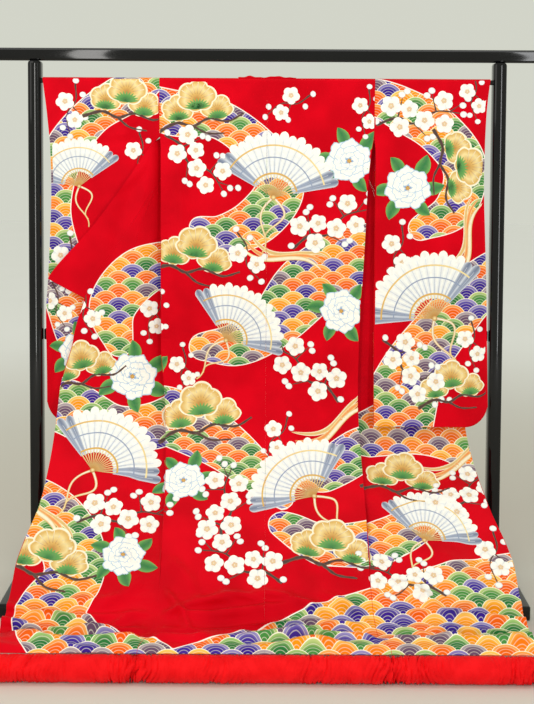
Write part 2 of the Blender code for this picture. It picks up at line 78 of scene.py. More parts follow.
# down, left seam, right seam, from the middle
sideSeam = (
    (0.0, 0.32, 0.32), (0.165, 0.319, 0.319), (0.22, 0.316, 0.312), (0.3, 0.316, 0.304), (0.52, 0.316, 0.293),
    (0.81, 0.315, 0.279), (0.96, 0.303, 0.277), (1.3, 0.285, 0.283), (1.55, 0.279, 0.281),
    (1.68, 0.288, 0.288), (hemDown, 0.315, 0.315),
)
# down, depth of the tuck, degrees that the cloth faces away at the side seam
tuck = (
    (0.0, 0.19, 180), (0.11, 0.198, 180), (0.197, 0.146, 180), (0.257, 0.128, 180), (0.486, 0.082, 180),
    (0.664, 0.055, 180), (0.788, 0.055, 180), (0.946, 0.032, 180), (1.25, 0.016, 180), (1.42, 0.008, 90),
    (1.56, 0.001, 0), (hemDown, 0.001, 0),
)
# down, depth of the tucked layer, of the left outer layer, of the right outer layer
layers = (
    (0.0, 0.02, 0.01, 0.027), (0.165, 0.018, 0.002, 0.027), (0.2, 0.017, -0.005, 0.027),
    (0.9, 0.015, -0.006, 0.027), (0.98, 0.013, -0.005, 0.034), (1.06, 0.011, -0.003, 0.05),
    (1.14, 0.01, 0.0, 0.04), (1.3, 0.007, 0.0, 0.008), (1.45, 0.0045, 0.0, 0.001), (hemDown, 0.0, 0.0, 0.0),
)
# down, then where the outer layer leaves the tuck's depth: left from, right from, left to, right to
shift = (
    (0.0, 0.303, 0.285, 0.35, 0.32), (0.26, 0.303, 0.285, 0.352, 0.32), (0.45, 0.306, 0.275, 0.385, 0.32),
    (0.9, 0.306, 0.268, 0.395, 0.318), (hemDown, 0.306, 0.268, 0.395, 0.318),
)
# down, distance of the collar's seam from the side seam, over the cloth
collarSeam = (
    (0.0, 0.232), (0.3, 0.25), (0.664, 0.352), (0.8, 0.388), (0.86, 0.392),
)
# down at the seam, collar's width, rise of its free edge
collarShape = (
    (0.0, 0.002, 0.0), (rodQuarter, 0.004, 0.0), (0.07, 0.054, 0.0), (0.165, 0.07, 0.022),
    (0.257, 0.082, 0.039), (0.486, 0.092, 0.055), (0.664, 0.118, 0.058),
)
# folds pushed up where the cloth reaches the floor, and the sharper ones near the roll
floorFolds = {
    "start": 1.56, "fadeIn": 0.08, "end": 1.715, "fadeOut": 0.04, "pitch": 0.075, "height": 0.0065,
    "frontFrom": 1.4, "frontRise": 0.1,
}
crumple = {"start": 1.55, "fadeIn": 0.08, "end": 1.715, "fadeOut": 0.06, "pitch": 0.05, "height": 0.018}


def readTable(table, index, at):
    # cubic Hermite curve through one column, with tangents that never overshoot a row
    rows = np.array(table, dtype=float)
    keys, values = rows[:, 0], rows[:, index]
    step = np.diff(keys)
    slope = np.diff(values) / step
    tangent = np.zeros(len(keys))
    rising = slope[:-1] * slope[1:] > 0
    before, after = slope[:-1][rising], slope[1:][rising]
    tangent[1:-1][rising] = 2 * before * after / (before + after)
    at = np.asarray(at, dtype=float)
    cell = np.clip(np.searchsorted(keys, at, side="right") - 1, 0, len(keys) - 2)
    share = np.clip((at - keys[cell]) / step[cell], 0, 1)
    start = (1 + 2 * share) * (1 - share) ** 2 * values[cell]
    start += share * (1 - share) ** 2 * step[cell] * tangent[cell]
    end = share ** 2 * (3 - 2 * share) * values[cell + 1]
    end -= share ** 2 * (1 - share) * step[cell] * tangent[cell + 1]
    return start + end


def sided(table, side, at, left=1):
    # the left side's column, or the next one, which is the right side's
    return readTable(table, left if side < 0 else left + 1, at)


def rise(value, start, length):
    # 0 before start, 1 past start + length, and 3x^2 - 2x^3 between
    share = np.clip((value - start) / length, 0, 1)
    return share * share * (3 - 2 * share)


def fade(value, start, length):
    # 1 before start, 0 past start + length
    return 1 - rise(value, start, length)


def within(value, band):
    # 1 inside the band, fading to 0 at both its ends
    return rise(value, band["start"], band["fadeIn"]) * fade(value, band["end"], band["fadeOut"])


def spread(start, *stretches):
    # joined runs of even steps from start, each given as (end, number of steps)
    values = [np.array([start])]
    for end, steps in stretches:
        values.append(np.linspace(values[-1][-1], end, steps + 1)[1:])
    return np.concatenate(values)


def makeDrapeLine():
    # forward reach and height are the running sums of sin and cos of the slope
    down = np.linspace(rodQuarter, hemDown + 0.004, 1500)
    slope = np.radians(readTable(drape, 1, down))
    step = down[1] - down[0]
    forward = np.concatenate(([0], np.cumsum((np.sin(slope[1:]) + np.sin(slope[:-1])) / 2) * step))
    fall = np.concatenate(([0], np.cumsum((np.cos(slope[1:]) + np.cos(slope[:-1])) / 2) * step))
    return down, shoulderRadius + forward, robe["rodHeight"] - fall, slope


drapeLine = makeDrapeLine()


def place(side, out, depth, down):
    # the hanging line at that distance down, set back by depth square to it
    grid, forward, height, slope = drapeLine
    reach = np.interp(down, grid, forward)
    level = np.interp(down, grid, height)
    lean = np.interp(down, grid, slope)
    return np.stack([side * out, depth * np.cos(lean) - reach, level - depth * np.sin(lean)], axis=-1)


def floorFold(down, out):
    # a sine along the cloth whose phase and strength wander across it
    phase = (down - floorFolds["start"]) / floorFolds["pitch"] * 2 * math.pi
    wave = np.sin(phase + 2.2 * np.sin(out * 4.1) + out * 3.0)
    return floorFolds["height"] * within(down, floorFolds) * wave * (0.6 + 0.4 * np.cos(out * 9.0))


def backPoint(side, down, across):
    # X runs evenly from the side seam, at across 0, to the middle seam
    half = robe["shoulderHalf"]
    gap = seams["gap"] / 2 + seams["floorHalf"] * rise(down, seams["floorFrom"], seams["floorRise"])
    out = sided(sideSeam, side, down) * (1 - across / half) + gap * across / half
    return place(side, out, floorFold(down, side * out), down)


def turnOf(down):
    # how the front turns: depth of the tuck, heading at the seam, angle turned, length and rate of the turn
    depthIn = readTable(tuck, 1, down)
    start = np.radians(readTable(tuck, 2, down))
    turned = rise(down, robe["turnStart"], robe["turnEnd"] - robe["turnStart"]) * start
    turned = np.maximum(turned, 1e-5)
    bend = robe["foldRadius"] * turned + 1e-5
    return depthIn, start, turned, bend, turned / bend


def hingeAt(side, down, start):
    # X of the front's edge at the side seam: past the back's edge, on the side that the cloth faces
    return sided(sideSeam, side, down) + seams["gap"] * np.cos(start / 2) + robe["thick"] * np.sin(start)


def frontPoint(side, down, across):
    # a straight run inwards, an arc of turned/rate, and a straight run outwards, then moved to its layer
    depthIn, start, turned, bend, rate = turnOf(down)
    first = np.minimum(across, depthIn)
    curve = np.clip(across - depthIn, 0, bend)
    last = np.maximum(across - depthIn - bend, 0)
    end = start - turned
    along = first * np.cos(start) + last * np.cos(end)
    along = along + (np.sin(start) - np.sin(start - rate * curve)) / rate
    away = first * np.sin(start) + last * np.sin(end)
    away = away + (np.cos(start - rate * curve) - np.cos(start)) / rate
    hingeDepth = robe["thick"] + seams["gap"] * np.sin(start / 2) - robe["thick"] * np.cos(start)
    openArm = fade(down, robe["armholeEnd"], robe["armholeClose"])
    hingeDepth = hingeDepth + openArm * (2 * shoulderRadius - hingeDepth)
    lift = np.maximum(readTable(layers, 1, down) - hingeDepth, 0) * rise(first, 0, robe["tuckLift"])
    out = hingeAt(side, down, start) + along
    rest = hingeDepth + lift + (np.cos(end) - np.cos(start)) / rate
    shiftFrom, shiftTo = sided(shift, side, down), sided(shift, side, down, 3)
    settle = rise(down, robe["shiftStart"], robe["shiftClose"])
    settle = settle * rise(out, shiftFrom, shiftTo - shiftFrom)
    settle = settle * rise(across - depthIn, bend * 0.5, robe["shiftSoft"])
    depth = hingeDepth + away + lift + settle * (sided(layers, side, down, 2) - rest)
    near = rise(down, floorFolds["frontFrom"], floorFolds["frontRise"])
    depth = depth + floorFold(down, side * out) * near
    return place(side, out, depth, down)


def shoulderPoint(side, along, across):
    # a quarter turn each way round the rod
    turn = along / shoulderRadius
    out = robe["shoulderHalf"] - across * (1 - seams["gap"] / 2 / robe["shoulderHalf"])
    depth = shoulderRadius * np.sin(turn) + 0 * out
    return np.stack([side * out, depth, robe["rodHeight"] + shoulderRadius * np.cos(turn) + 0 * out], axis=-1)


def bodyPoint(side, along, across):
    # the back where along is below the quarter turn, the front past it, the rod's round between
    along, across = np.broadcast_arrays(np.asarray(along, float), np.asarray(across, float))
    back = backPoint(side, np.clip(-along, rodQuarter, None), across)
    front = frontPoint(side, np.clip(along, rodQuarter, None), across)
    top = shoulderPoint(side, np.clip(along, -rodQuarter, rodQuarter), across)
    along = along[..., None]
    return np.where(along < -rodQuarter, back, np.where(along > rodQuarter, front, top))


# creases
# each row: start u, start v, end u, end v, half width, height; u is X, v is down, in metres

backCreases = (
    (-0.3, 0.17, -0.292, 0.62, 0.016, 0.003), (-0.262, 0.2, -0.27, 0.85, 0.022, -0.0026),
    (0.296, 0.16, 0.268, 0.7, 0.016, 0.0032), (0.25, 0.18, 0.238, 0.78, 0.022, -0.0026),
    (-0.11, 0.05, -0.15, 0.42, 0.03, 0.0018), (0.125, 0.06, 0.16, 0.46, 0.03, 0.0016),
    (-0.03, 0.3, -0.055, 0.95, 0.034, -0.0016), (0.06, 0.42, 0.085, 1.1, 0.036, -0.0018),
    (-0.18, 0.55, -0.14, 1.2, 0.04, 0.0024), (0.17, 0.6, 0.185, 1.28, 0.04, 0.0022),
    (-0.255, 0.9, -0.215, 1.42, 0.03, -0.003), (0.245, 0.92, 0.225, 1.45, 0.03, -0.0026),
    (-0.06, 1.05, -0.1, 1.55, 0.036, 0.0026), (0.075, 1.12, 0.03, 1.6, 0.036, 0.0024),
    (0.145, 1.32, 0.205, 1.66, 0.026, -0.003), (-0.175, 1.36, -0.11, 1.66, 0.026, -0.0028),
    (0.06, 1.46, 0.3, 1.56, 0.02, 0.0034), (-0.3, 1.45, -0.17, 1.58, 0.018, 0.0036),
    (-0.06, 1.56, 0.18, 1.64, 0.012, 0.006), (-0.28, 1.64, -0.06, 1.58, 0.012, 0.0056),
    (0.13, 1.55, 0.31, 1.7, 0.011, 0.006), (-0.32, 1.52, -0.18, 1.7, 0.011, 0.0058),
    (-0.15, 1.57, 0.02, 1.6, 0.01, 0.005), (0.04, 1.71, 0.26, 1.66, 0.01, 0.005),
    (-0.2, 1.74, 0.0, 1.69, 0.01, 0.0046), (0.0, 1.78, 0.2, 1.74, 0.01, 0.004),
)
frontCreases = (
    (-0.335, 0.22, -0.5, 0.36, 0.014, 0.0026), (-0.34, 0.19, -0.372, 0.6, 0.018, 0.0034),
    (-0.352, 0.25, -0.45, 0.78, 0.024, -0.0026), (-0.345, 0.21, -0.58, 0.47, 0.02, -0.0022),
    (-0.48, 0.42, -0.52, 0.8, 0.026, 0.0022), (-0.36, 0.7, -0.385, 1.2, 0.026, 0.0034),
    (-0.43, 0.75, -0.47, 1.3, 0.032, -0.003), (-0.51, 0.88, -0.56, 1.35, 0.03, 0.003),
    (-0.33, 1.1, -0.345, 1.52, 0.024, -0.0034), (-0.4, 1.22, -0.44, 1.62, 0.028, 0.0034),
    (-0.5, 1.3, -0.57, 1.66, 0.028, -0.003), (-0.31, 1.5, -0.47, 1.61, 0.018, 0.0044),
    (-0.32, 1.6, -0.52, 1.7, 0.011, 0.006), (-0.44, 1.56, -0.66, 1.63, 0.013, 0.006),
    (-0.54, 1.72, -0.68, 1.66, 0.01, 0.0046), (-0.36, 1.76, -0.56, 1.72, 0.01, 0.0042),
    (0.33, 0.85, 0.345, 1.3, 0.024, 0.003), (0.4, 0.95, 0.44, 1.42, 0.03, -0.003),
    (0.47, 0.98, 0.52, 1.48, 0.03, 0.003), (0.34, 1.3, 0.4, 1.64, 0.024, -0.0032),
    (0.45, 1.4, 0.56, 1.66, 0.028, 0.0034), (0.32, 1.52, 0.48, 1.63, 0.012, 0.0058),
    (0.44, 1.64, 0.67, 1.6, 0.012, 0.006), (0.34, 1.68, 0.52, 1.74, 0.011, 0.005),
    (0.52, 1.7, 0.68, 1.76, 0.01, 0.0046), (0.56, 1.25, 0.64, 1.58, 0.026, -0.0026),
)
sleeveCreases = (
    (-0.61, 0.06, -0.56, 0.6, 0.026, 0.0018), (-0.52, 0.1, -0.5, 0.85, 0.03, -0.0016),
    (-0.44, 0.16, -0.43, 0.95, 0.026, 0.0018), (-0.6, 0.5, -0.615, 0.96, 0.024, -0.0018),
    (-0.36, 0.03, -0.45, 0.2, 0.016, 0.0018), (-0.345, 0.06, -0.4, 0.3, 0.014, -0.0014),
    (0.6, 0.06, 0.56, 0.55, 0.026, 0.0018), (0.52, 0.08, 0.5, 0.8, 0.03, -0.0016),
    (0.44, 0.12, 0.425, 0.92, 0.026, 0.002), (0.375, 0.1, 0.368, 0.8, 0.018, -0.0016),
    (0.61, 0.55, 0.6, 0.95, 0.024, -0.0018), (0.35, 0.5, 0.372, 0.98, 0.018, 0.0022),
    (0.35, 0.03, 0.43, 0.19, 0.016, 0.0016), (0.48, 0.6, 0.54, 0.98, 0.028, 0.0018),
    (-0.6, -0.06, -0.56, -0.6, 0.026, 0.0018), (-0.47, -0.1, -0.45, -0.9, 0.028, -0.0016),
    (-0.38, -0.08, -0.4, -0.8, 0.022, 0.0018), (0.6, -0.08, 0.57, -0.62, 0.026, 0.0018),
    (0.48, -0.1, 0.46, -0.92, 0.028, -0.0016), (0.38, -0.06, 0.4, -0.8, 0.022, 0.0018),
)
crease = {"bow": 0.1, "fade": 0.3, "gain": 1.4, "lowGain": 0.9, "lowFrom": 1.0, "lowRise": 0.4}


def creaseHeight(rows, u, v):
    # sum of soft bowed ridges: height * exp(-(distance/width)^2), fading to nothing at both ends
    total = np.zeros(np.broadcast(u, v).shape)
    for u0, v0, u1, v1, width, height in rows:
        du, dv = u1 - u0, v1 - v0
        length = math.hypot(du, dv)
        share = ((u - u0) * du + (v - v0) * dv) / length ** 2
        aside = ((u - u0) * dv - (v - v0) * du) / length
        bow = crease["bow"] * length * np.sin(np.clip(share, 0, 1) * math.pi) * math.copysign(1, height)
        ends = rise(share, 0, crease["fade"]) * fade(share, 1 - crease["fade"], crease["fade"])
        total += height * ends * np.exp(-((aside - bow) / width) ** 2)
    gain = crease["gain"] + crease["lowGain"] * rise(np.abs(v), crease["lowFrom"], crease["lowRise"])
    return total * gain


def hemCrumple(u, v):
    # squared sines whose phase wanders across the cloth, in patches
    phase = v * 2 * math.pi / crumple["pitch"] + 2.0 * np.sin(u * 6.3 + 0.7) + 1.1 * np.sin(u * 15.7)
    patch = 0.45 + 0.55 * np.sin(u * 5.6 + 2.1 * np.sin(v * 9.0)) ** 2
    return crumple["height"] * within(v, crumple) * patch * (0.5 + 0.5 * np.sin(phase)) ** 2


# where creases are calmed: below the shoulder, the hollows past a distance from the middle, the back's edge
# where the fronts no longer turn, and the fronts' edges
calm = {
    "wave": 0.0009, "waveRise": 0.15, "top": 0.02, "topRise": 0.1, "hollow": 0.17, "hollowFade": 0.06,
    "low": 1.34, "lowRise": 0.12, "edge": 0.04, "edgeRise": 0.038,
    "front": 0.004, "frontRise": 0.04, "turnRise": 0.02,
}


def softWave(u, v):
    # three crossed sines: the slow wander of a hanging cloth
    wave = 0.45 * np.sin(u * 21.0 + 1.3 * np.sin(v * 3.1)) + 0.35 * np.sin(u * 37.0 - v * 4.0 + 1.0)
    wave = wave + 0.2 * np.sin(v * 16.0 + u * 9.0)
    return calm["wave"] * wave * rise(np.abs(v), calm["top"], calm["waveRise"])


def panelHeight(creases, u, v):
    # the creases, calmed near the shoulder, the slow wander and the hem's crumpled band, summed
    height = creaseHeight(creases, u, v) * rise(v, calm["top"], calm["topRise"])
    return height + softWave(u, v) + hemCrumple(u, v)


def backHeight(u, v):
    # near the side seams only the ridges stay, because the front lies close behind;
    # where the front no longer turns, the height fades to nothing, so that the two edges meet
    height = panelHeight(backCreases, u, v)
    hollow = np.minimum(height, 0) * fade(np.abs(u), calm["hollow"], calm["hollowFade"])
    seam = np.where(u < 0, sided(sideSeam, -1, v), sided(sideSeam, 1, v))
    edge = rise(v, calm["low"], calm["lowRise"]) * rise(np.abs(u) - seam, -calm["edge"], calm["edgeRise"])
    return (np.maximum(height, 0) + hollow) * (1 - edge)


def frontHeight(side, across, u, v):
    # only the part beside the back has creases; the tucked layers stay smooth, so that they don't touch
    depthIn, _, _, bend, _ = turnOf(v)
    free = rise(np.abs(u) - sided(sideSeam, side, v), calm["front"], calm["frontRise"])
    return panelHeight(frontCreases, u, v) * (free * rise(across - depthIn - bend, 0, calm["turnRise"]))


def liftOff(surface, side, first, second, height):
    # surface + height * normal, and that normal: the cross product of two short steps on the surface
    near = 1e-5
    firstStep = surface(side, first + near, second) - surface(side, first - near, second)
    secondStep = surface(side, first, second + near) - surface(side, first, second - near)
    normal = side * np.cross(firstStep, secondStep)
    normal /= np.linalg.norm(normal, axis=-1, keepdims=True) + 1e-30
    return surface(side, first, second) + height[..., None] * normal, normal


# meshes

def makeMesh(name, points, quads, materials, uv=None, stream=None, tints=None, slots=None, sharp=40):
    # quads is an array of four corners for each face; unused points are dropped
    used, quads = np.unique(quads, return_inverse=True)
    quads = quads.reshape(-1, 4).astype(np.int32)
    mesh = bpy.data.meshes.new(name)
    mesh.vertices.add(len(used))
    mesh.vertices.foreach_set("co", points.reshape(-1, 3)[used].astype(np.float32).ravel())
    mesh.loops.add(quads.size)
    mesh.loops.foreach_set("vertex_index", quads.ravel())
    mesh.polygons.add(len(quads))
    mesh.polygons.foreach_set("loop_start", np.arange(0, quads.size, 4, dtype=np.int32))
    mesh.update(calc_edges=True)
    for material in materials:
        mesh.materials.append(material)
    if slots is not None:
        mesh.polygons.foreach_set("material_index", slots.astype(np.int32))
    if uv is not None:
        layer = mesh.uv_layers.new(name="cloth")
        layer.data.foreach_set("uv", uv.reshape(-1, 2)[used][quads.ravel()].astype(np.float32).ravel())
    if stream is not None:
        field = mesh.attributes.new("stream", "FLOAT", "POINT")
        field.data.foreach_set("value", stream.ravel()[used].astype(np.float32))
    if tints is not None:
        field = mesh.attributes.new("tint", "FLOAT_COLOR", "POINT")
        tints = np.concatenate([tints.reshape(-1, 3)[used], np.ones((len(used), 1))], axis=1)
        field.data.foreach_set("color", tints.astype(np.float32).ravel())
    mesh.shade_smooth()
    mesh.set_sharp_from_angle(angle=math.radians(sharp))
    made = bpy.data.objects.new(name, mesh)
    bpy.context.scene.collection.objects.link(made)
    return made


def numberGrid(rows, columns, closed=False):
    # the vertex numbers of a grid; closed repeats the first row at the end
    index = np.arange(rows * columns).reshape(rows, columns)
    return np.vstack([index, index[:1]]) if closed else index


def cellsOf(index):
    # the four corners of every cell of a grid of vertex numbers
    return np.stack([index[:-1, :-1], index[1:, :-1], index[1:, 1:], index[:-1, 1:]], axis=-1)


def ladderOf(ring):
    # quads across a ring of an even count of vertices, from rung to rung
    at, count = np.arange(len(ring) // 2 - 1), len(ring)
    return np.stack([ring[at + 1], ring[at], ring[count - 1 - at], ring[count - 2 - at]], axis=1)


def closeShell(quads, count):
    # outer faces, inner faces turned round, and a rim along every edge that only one face has
    edges = np.concatenate([quads[:, [a, (a + 1) % 4]] for a in range(4)])
    keys = np.sort(edges, axis=1) @ np.array([2 * count, 1])
    found, times = np.unique(keys, return_counts=True)
    alone = edges[np.isin(keys, found[times == 1])]
    rim = np.stack([alone[:, 1], alone[:, 0], alone[:, 0] + count, alone[:, 1] + count], axis=1)
    return quads, quads[:, ::-1] + count, rim


def makeShell(name, node, outer, inner, uv, stream, keep=None, closed=False, flip=False):
    # satin on the outer grid, lining on the inner one, satin on the rim; keep picks the cells
    rows, columns = outer.shape[:2]
    cells = cellsOf(numberGrid(rows, columns, closed))
    quads = cells.reshape(-1, 4) if keep is None else cells[keep]
    parts = closeShell(quads[:, ::-1] if flip else quads, rows * columns)
    points = np.concatenate([outer.reshape(-1, 3), inner.reshape(-1, 3)])
    slots = np.repeat([0, 1, 0], [len(part) for part in parts])
    made = makeMesh(
        name, points, np.concatenate(parts), (patternedSatin, redLining),
        uv=np.concatenate([uv.reshape(-1, 2)] * 2), stream=np.concatenate([stream.ravel()] * 2), slots=slots,
    )
    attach(made, "root")
    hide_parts(node)
    return made


# streams of the wave pattern
# each stream is a list of (u, v, half width); the robe's ground shows between them

streams = {
    "back": (
        ((-0.4, 0.07, 0.05), (-0.28, 0.11, 0.066), (-0.14, 0.13, 0.056), (-0.02, 0.22, 0.06),
         (0.04, 0.33, 0.07), (-0.03, 0.43, 0.07), (-0.13, 0.47, 0.054), (-0.2, 0.45, 0.03)),
        ((0.4, 0.5, 0.06), (0.27, 0.53, 0.086), (0.13, 0.62, 0.096), (0.03, 0.73, 0.078),
         (-0.08, 0.8, 0.064), (-0.19, 0.81, 0.04)),
        ((-0.4, 0.99, 0.07), (-0.26, 1.03, 0.086), (-0.12, 1.11, 0.074), (-0.01, 1.21, 0.056),
         (0.05, 1.28, 0.03)),
        ((0.4, 1.07, 0.05), (0.28, 1.12, 0.066), (0.17, 1.19, 0.06), (0.1, 1.21, 0.034)),
    ),
    "front": (
        ((-0.26, 0.55, 0.056), (-0.38, 0.59, 0.074), (-0.46, 0.69, 0.068), (-0.44, 0.8, 0.04)),
        ((-0.74, 0.97, 0.07), (-0.6, 0.99, 0.08), (-0.46, 1.06, 0.074), (-0.35, 1.05, 0.066),
         (-0.24, 1.01, 0.07)),
        ((0.24, 1.08, 0.05), (0.38, 1.04, 0.072), (0.5, 1.03, 0.086), (0.64, 1.09, 0.08),
         (0.8, 1.14, 0.08)),
    ),
    "sleeve": (
        ((0.26, 0.03, 0.04), (0.39, 0.09, 0.062), (0.51, 0.16, 0.066), (0.59, 0.27, 0.064),
         (0.56, 0.39, 0.058), (0.46, 0.45, 0.036)),
        ((0.74, 0.55, 0.06), (0.63, 0.63, 0.076), (0.53, 0.75, 0.08), (0.45, 0.86, 0.09),
         (0.4, 0.98, 0.11), (0.36, 1.1, 0.13)),
        ((-0.3, -0.06, 0.05), (-0.4, 0.04, 0.06), (-0.52, 0.12, 0.056), (-0.61, 0.24, 0.06),
         (-0.645, 0.4, 0.058), (-0.62, 0.56, 0.07), (-0.57, 0.72, 0.08), (-0.5, 0.88, 0.09),
         (-0.45, 1.06, 0.11)),
        ((-0.74, -0.3, 0.06), (-0.6, -0.36, 0.076), (-0.5, -0.46, 0.066), (-0.42, -0.6, 0.066),
         (-0.28, -0.66, 0.07)),
        ((-0.72, -0.92, 0.11), (-0.55, -0.96, 0.1), (-0.4, -1.06, 0.1)),
        ((0.28, -0.22, 0.06), (0.42, -0.3, 0.076), (0.52, -0.42, 0.066), (0.58, -0.56, 0.066),
         (0.74, -0.62, 0.076)),
        ((0.28, -0.86, 0.1), (0.42, -0.92, 0.1), (0.58, -1.04, 0.11)),
    ),
    "hem": (
        ((-0.84, 1.26, 0.07), (-0.67, 1.29, 0.08), (-0.55, 1.39, 0.084), (-0.51, 1.51, 0.08),
         (-0.56, 1.63, 0.09), (-0.48, 1.74, 0.1), (-0.32, 1.84, 0.12)),
        ((-0.2, 1.86, 0.1), (-0.04, 1.78, 0.086), (0.14, 1.69, 0.09), (0.32, 1.64, 0.1),
         (0.52, 1.6, 0.13), (0.8, 1.58, 0.16)),
        ((0.14, 1.85, 0.1), (0.3, 1.8, 0.09), (0.48, 1.8, 0.11), (0.8, 1.8, 0.13)),
        ((0.05, 1.36, 0.04), (0.16, 1.42, 0.062), (0.3, 1.41, 0.066), (0.42, 1.35, 0.056),
         (0.5, 1.27, 0.034)),
    ),
}


def curveThrough(knots, steps):
    # Catmull-Rom curve through the knots
    knots = np.array(knots, dtype=float)
    padded = np.vstack([2 * knots[0] - knots[1], knots, 2 * knots[-1] - knots[-2]])
    share = np.linspace(0, 1, steps, endpoint=False)[:, None]
    runs = []
    for at in range(len(knots) - 1):
        a, b, c, d = padded[at:at + 4]
        bent = 2 * a - 5 * b + 4 * c - d + share * (3 * (b - c) + d - a)
        runs.append(b + 0.5 * share * (c - a + share * bent))
    return np.vstack(runs + [knots[-1:]])


def streamDistance(groups, u, v):
    # least distance to a stream's line less its half width there, joined smoothly: below 0 is inside
    soft = 0.004
    u, v = np.broadcast_arrays(u, v)
    least = np.full(u.shape, 0.5)
    for knots in [knots for group in groups for knots in streams[group]]:
        for x, y, half in curveThrough(knots, 9):
            gap = np.hypot(u - x, v - y) - half
            mixed = np.clip(0.5 + 0.5 * (least - gap) / soft, 0, 1)
            least = least * (1 - mixed) + gap * mixed - soft * mixed * (1 - mixed)
    return least


# materials

def colour(tone):
    # three screen values 0..255 to linear light
    screen = np.array(tone) / 255
    linear = np.where(screen <= 0.04045, screen / 12.92, ((screen + 0.055) / 1.055) ** 2.4)
    return (*linear.tolist(), 1.0)


class Value:
    # an output of a node; each sign between values adds a math node
    def __init__(self, tree, socket):
        self.tree, self.socket = tree, socket

    def __add__(self, other):
        return calc("ADD", self, other)

    def __sub__(self, other):
        return calc("SUBTRACT", self, other)

    def __rsub__(self, other):
        return calc("SUBTRACT", other, self)

    def __mul__(self, other):
        return calc("MULTIPLY", self, other)

    def __truediv__(self, other):
        return calc("DIVIDE", self, other)


def give(tree, node, inputs):
    # links each input that is a value, and sets the others
    for slot, value in dict(inputs).items():
        if isinstance(value, Value):
            tree.links.new(value.socket, node.inputs[slot])
        else:
            node.inputs[slot].default_value = value


def addNode(tree, kind, inputs=(), output=0, **settings):
    node = tree.nodes.new("ShaderNode" + kind)
    for key, value in settings.items():
        setattr(node, key, value)
    give(tree, node, inputs)
    return Value(tree, node.outputs[output])


def calc(operation, *values):
    tree = next(value.tree for value in values if isinstance(value, Value))
    return addNode(tree, "Math", enumerate(values), operation=operation)


def arrow(operation, first, inputs=(), output=0):
    return addNode(first.tree, "VectorMath", {0: first, **dict(inputs)}, output, operation=operation)


def partOf(vector, axis):
    return addNode(vector.tree, "SeparateXYZ", {0: vector}, axis)


def noise(spot, scale, detail, stretch=None, output=0):
    # cloudy noise, 0 to 1; stretch scales its two axes first
    if stretch:
        spot = addNode(spot.tree, "Mapping", {"Vector": spot, "Scale": (*stretch, 1.0)})
    return addNode(spot.tree, "TexNoise", {"Vector": spot, "Scale": scale, "Detail": detail}, output)


def bumpOf(height, strength, distance, **more):
    inputs = {"Height": height, "Strength": strength, "Distance": distance, **more}
    return addNode(height.tree, "Bump", inputs)


def mixColour(share, first, second):
    # three screen values become a colour; the node's colours are sockets 6 and 7, its result is socket 2
    ends = [colour(tone) if isinstance(tone, tuple) and len(tone) == 3 else tone for tone in (first, second)]
    return addNode(share.tree, "Mix", {0: share, 6: ends[0], 7: ends[1]}, 2, data_type="RGBA")


def stepUp(value, start, end):
    # 0 up to start, 1 from end on, smooth between
    return addNode(value.tree, "MapRange", {0: value, 1: start, 2: end}, interpolation_type="SMOOTHSTEP")


def pickColour(chance, tones):
    # one of the tones, by equal shares of chance
    picked = addNode(chance.tree, "ValToRGB", {0: chance})
    run = picked.socket.node.color_ramp
    run.interpolation = "CONSTANT"
    while len(run.elements) < len(tones):
        run.elements.new(1.0)
    for at, tone in enumerate(tones):
        run.elements[at].position = at / len(tones)
        run.elements[at].color = colour(tone)
    return picked


def makeMaterial(name, dress):
    # dress(tree) gives the shader's inputs
    made = bpy.data.materials.new(name)
    made.use_nodes = True
    give(made.node_tree, made.node_tree.nodes["Principled BSDF"], dress(made.node_tree))
    return made


def clothMap(tree):
    return addNode(tree, "UVMap", uv_map="cloth")


waves = {
    "width": 0.08, "rise": 0.02, "wobble": 0.0026, "lightStart": 0.56, "lightEnd": 1.08,
    "arcs": 5.0, "arcShare": 0.42, "rimStart": 0.945, "rimEnd": 0.975, "rim": (254, 248, 226),
    "deep": (
        (238, 96, 10), (40, 34, 140), (242, 150, 12), (16, 118, 58), (236, 104, 16), (96, 78, 104),
        (60, 140, 66), (54, 46, 150), (244, 126, 18),
    ),
    "light": (
        (250, 176, 84), (150, 144, 200), (252, 214, 112), (176, 212, 128), (250, 186, 100), (190, 180, 184),
        (206, 222, 140), (166, 160, 208), (252, 200, 96),
    ),
}


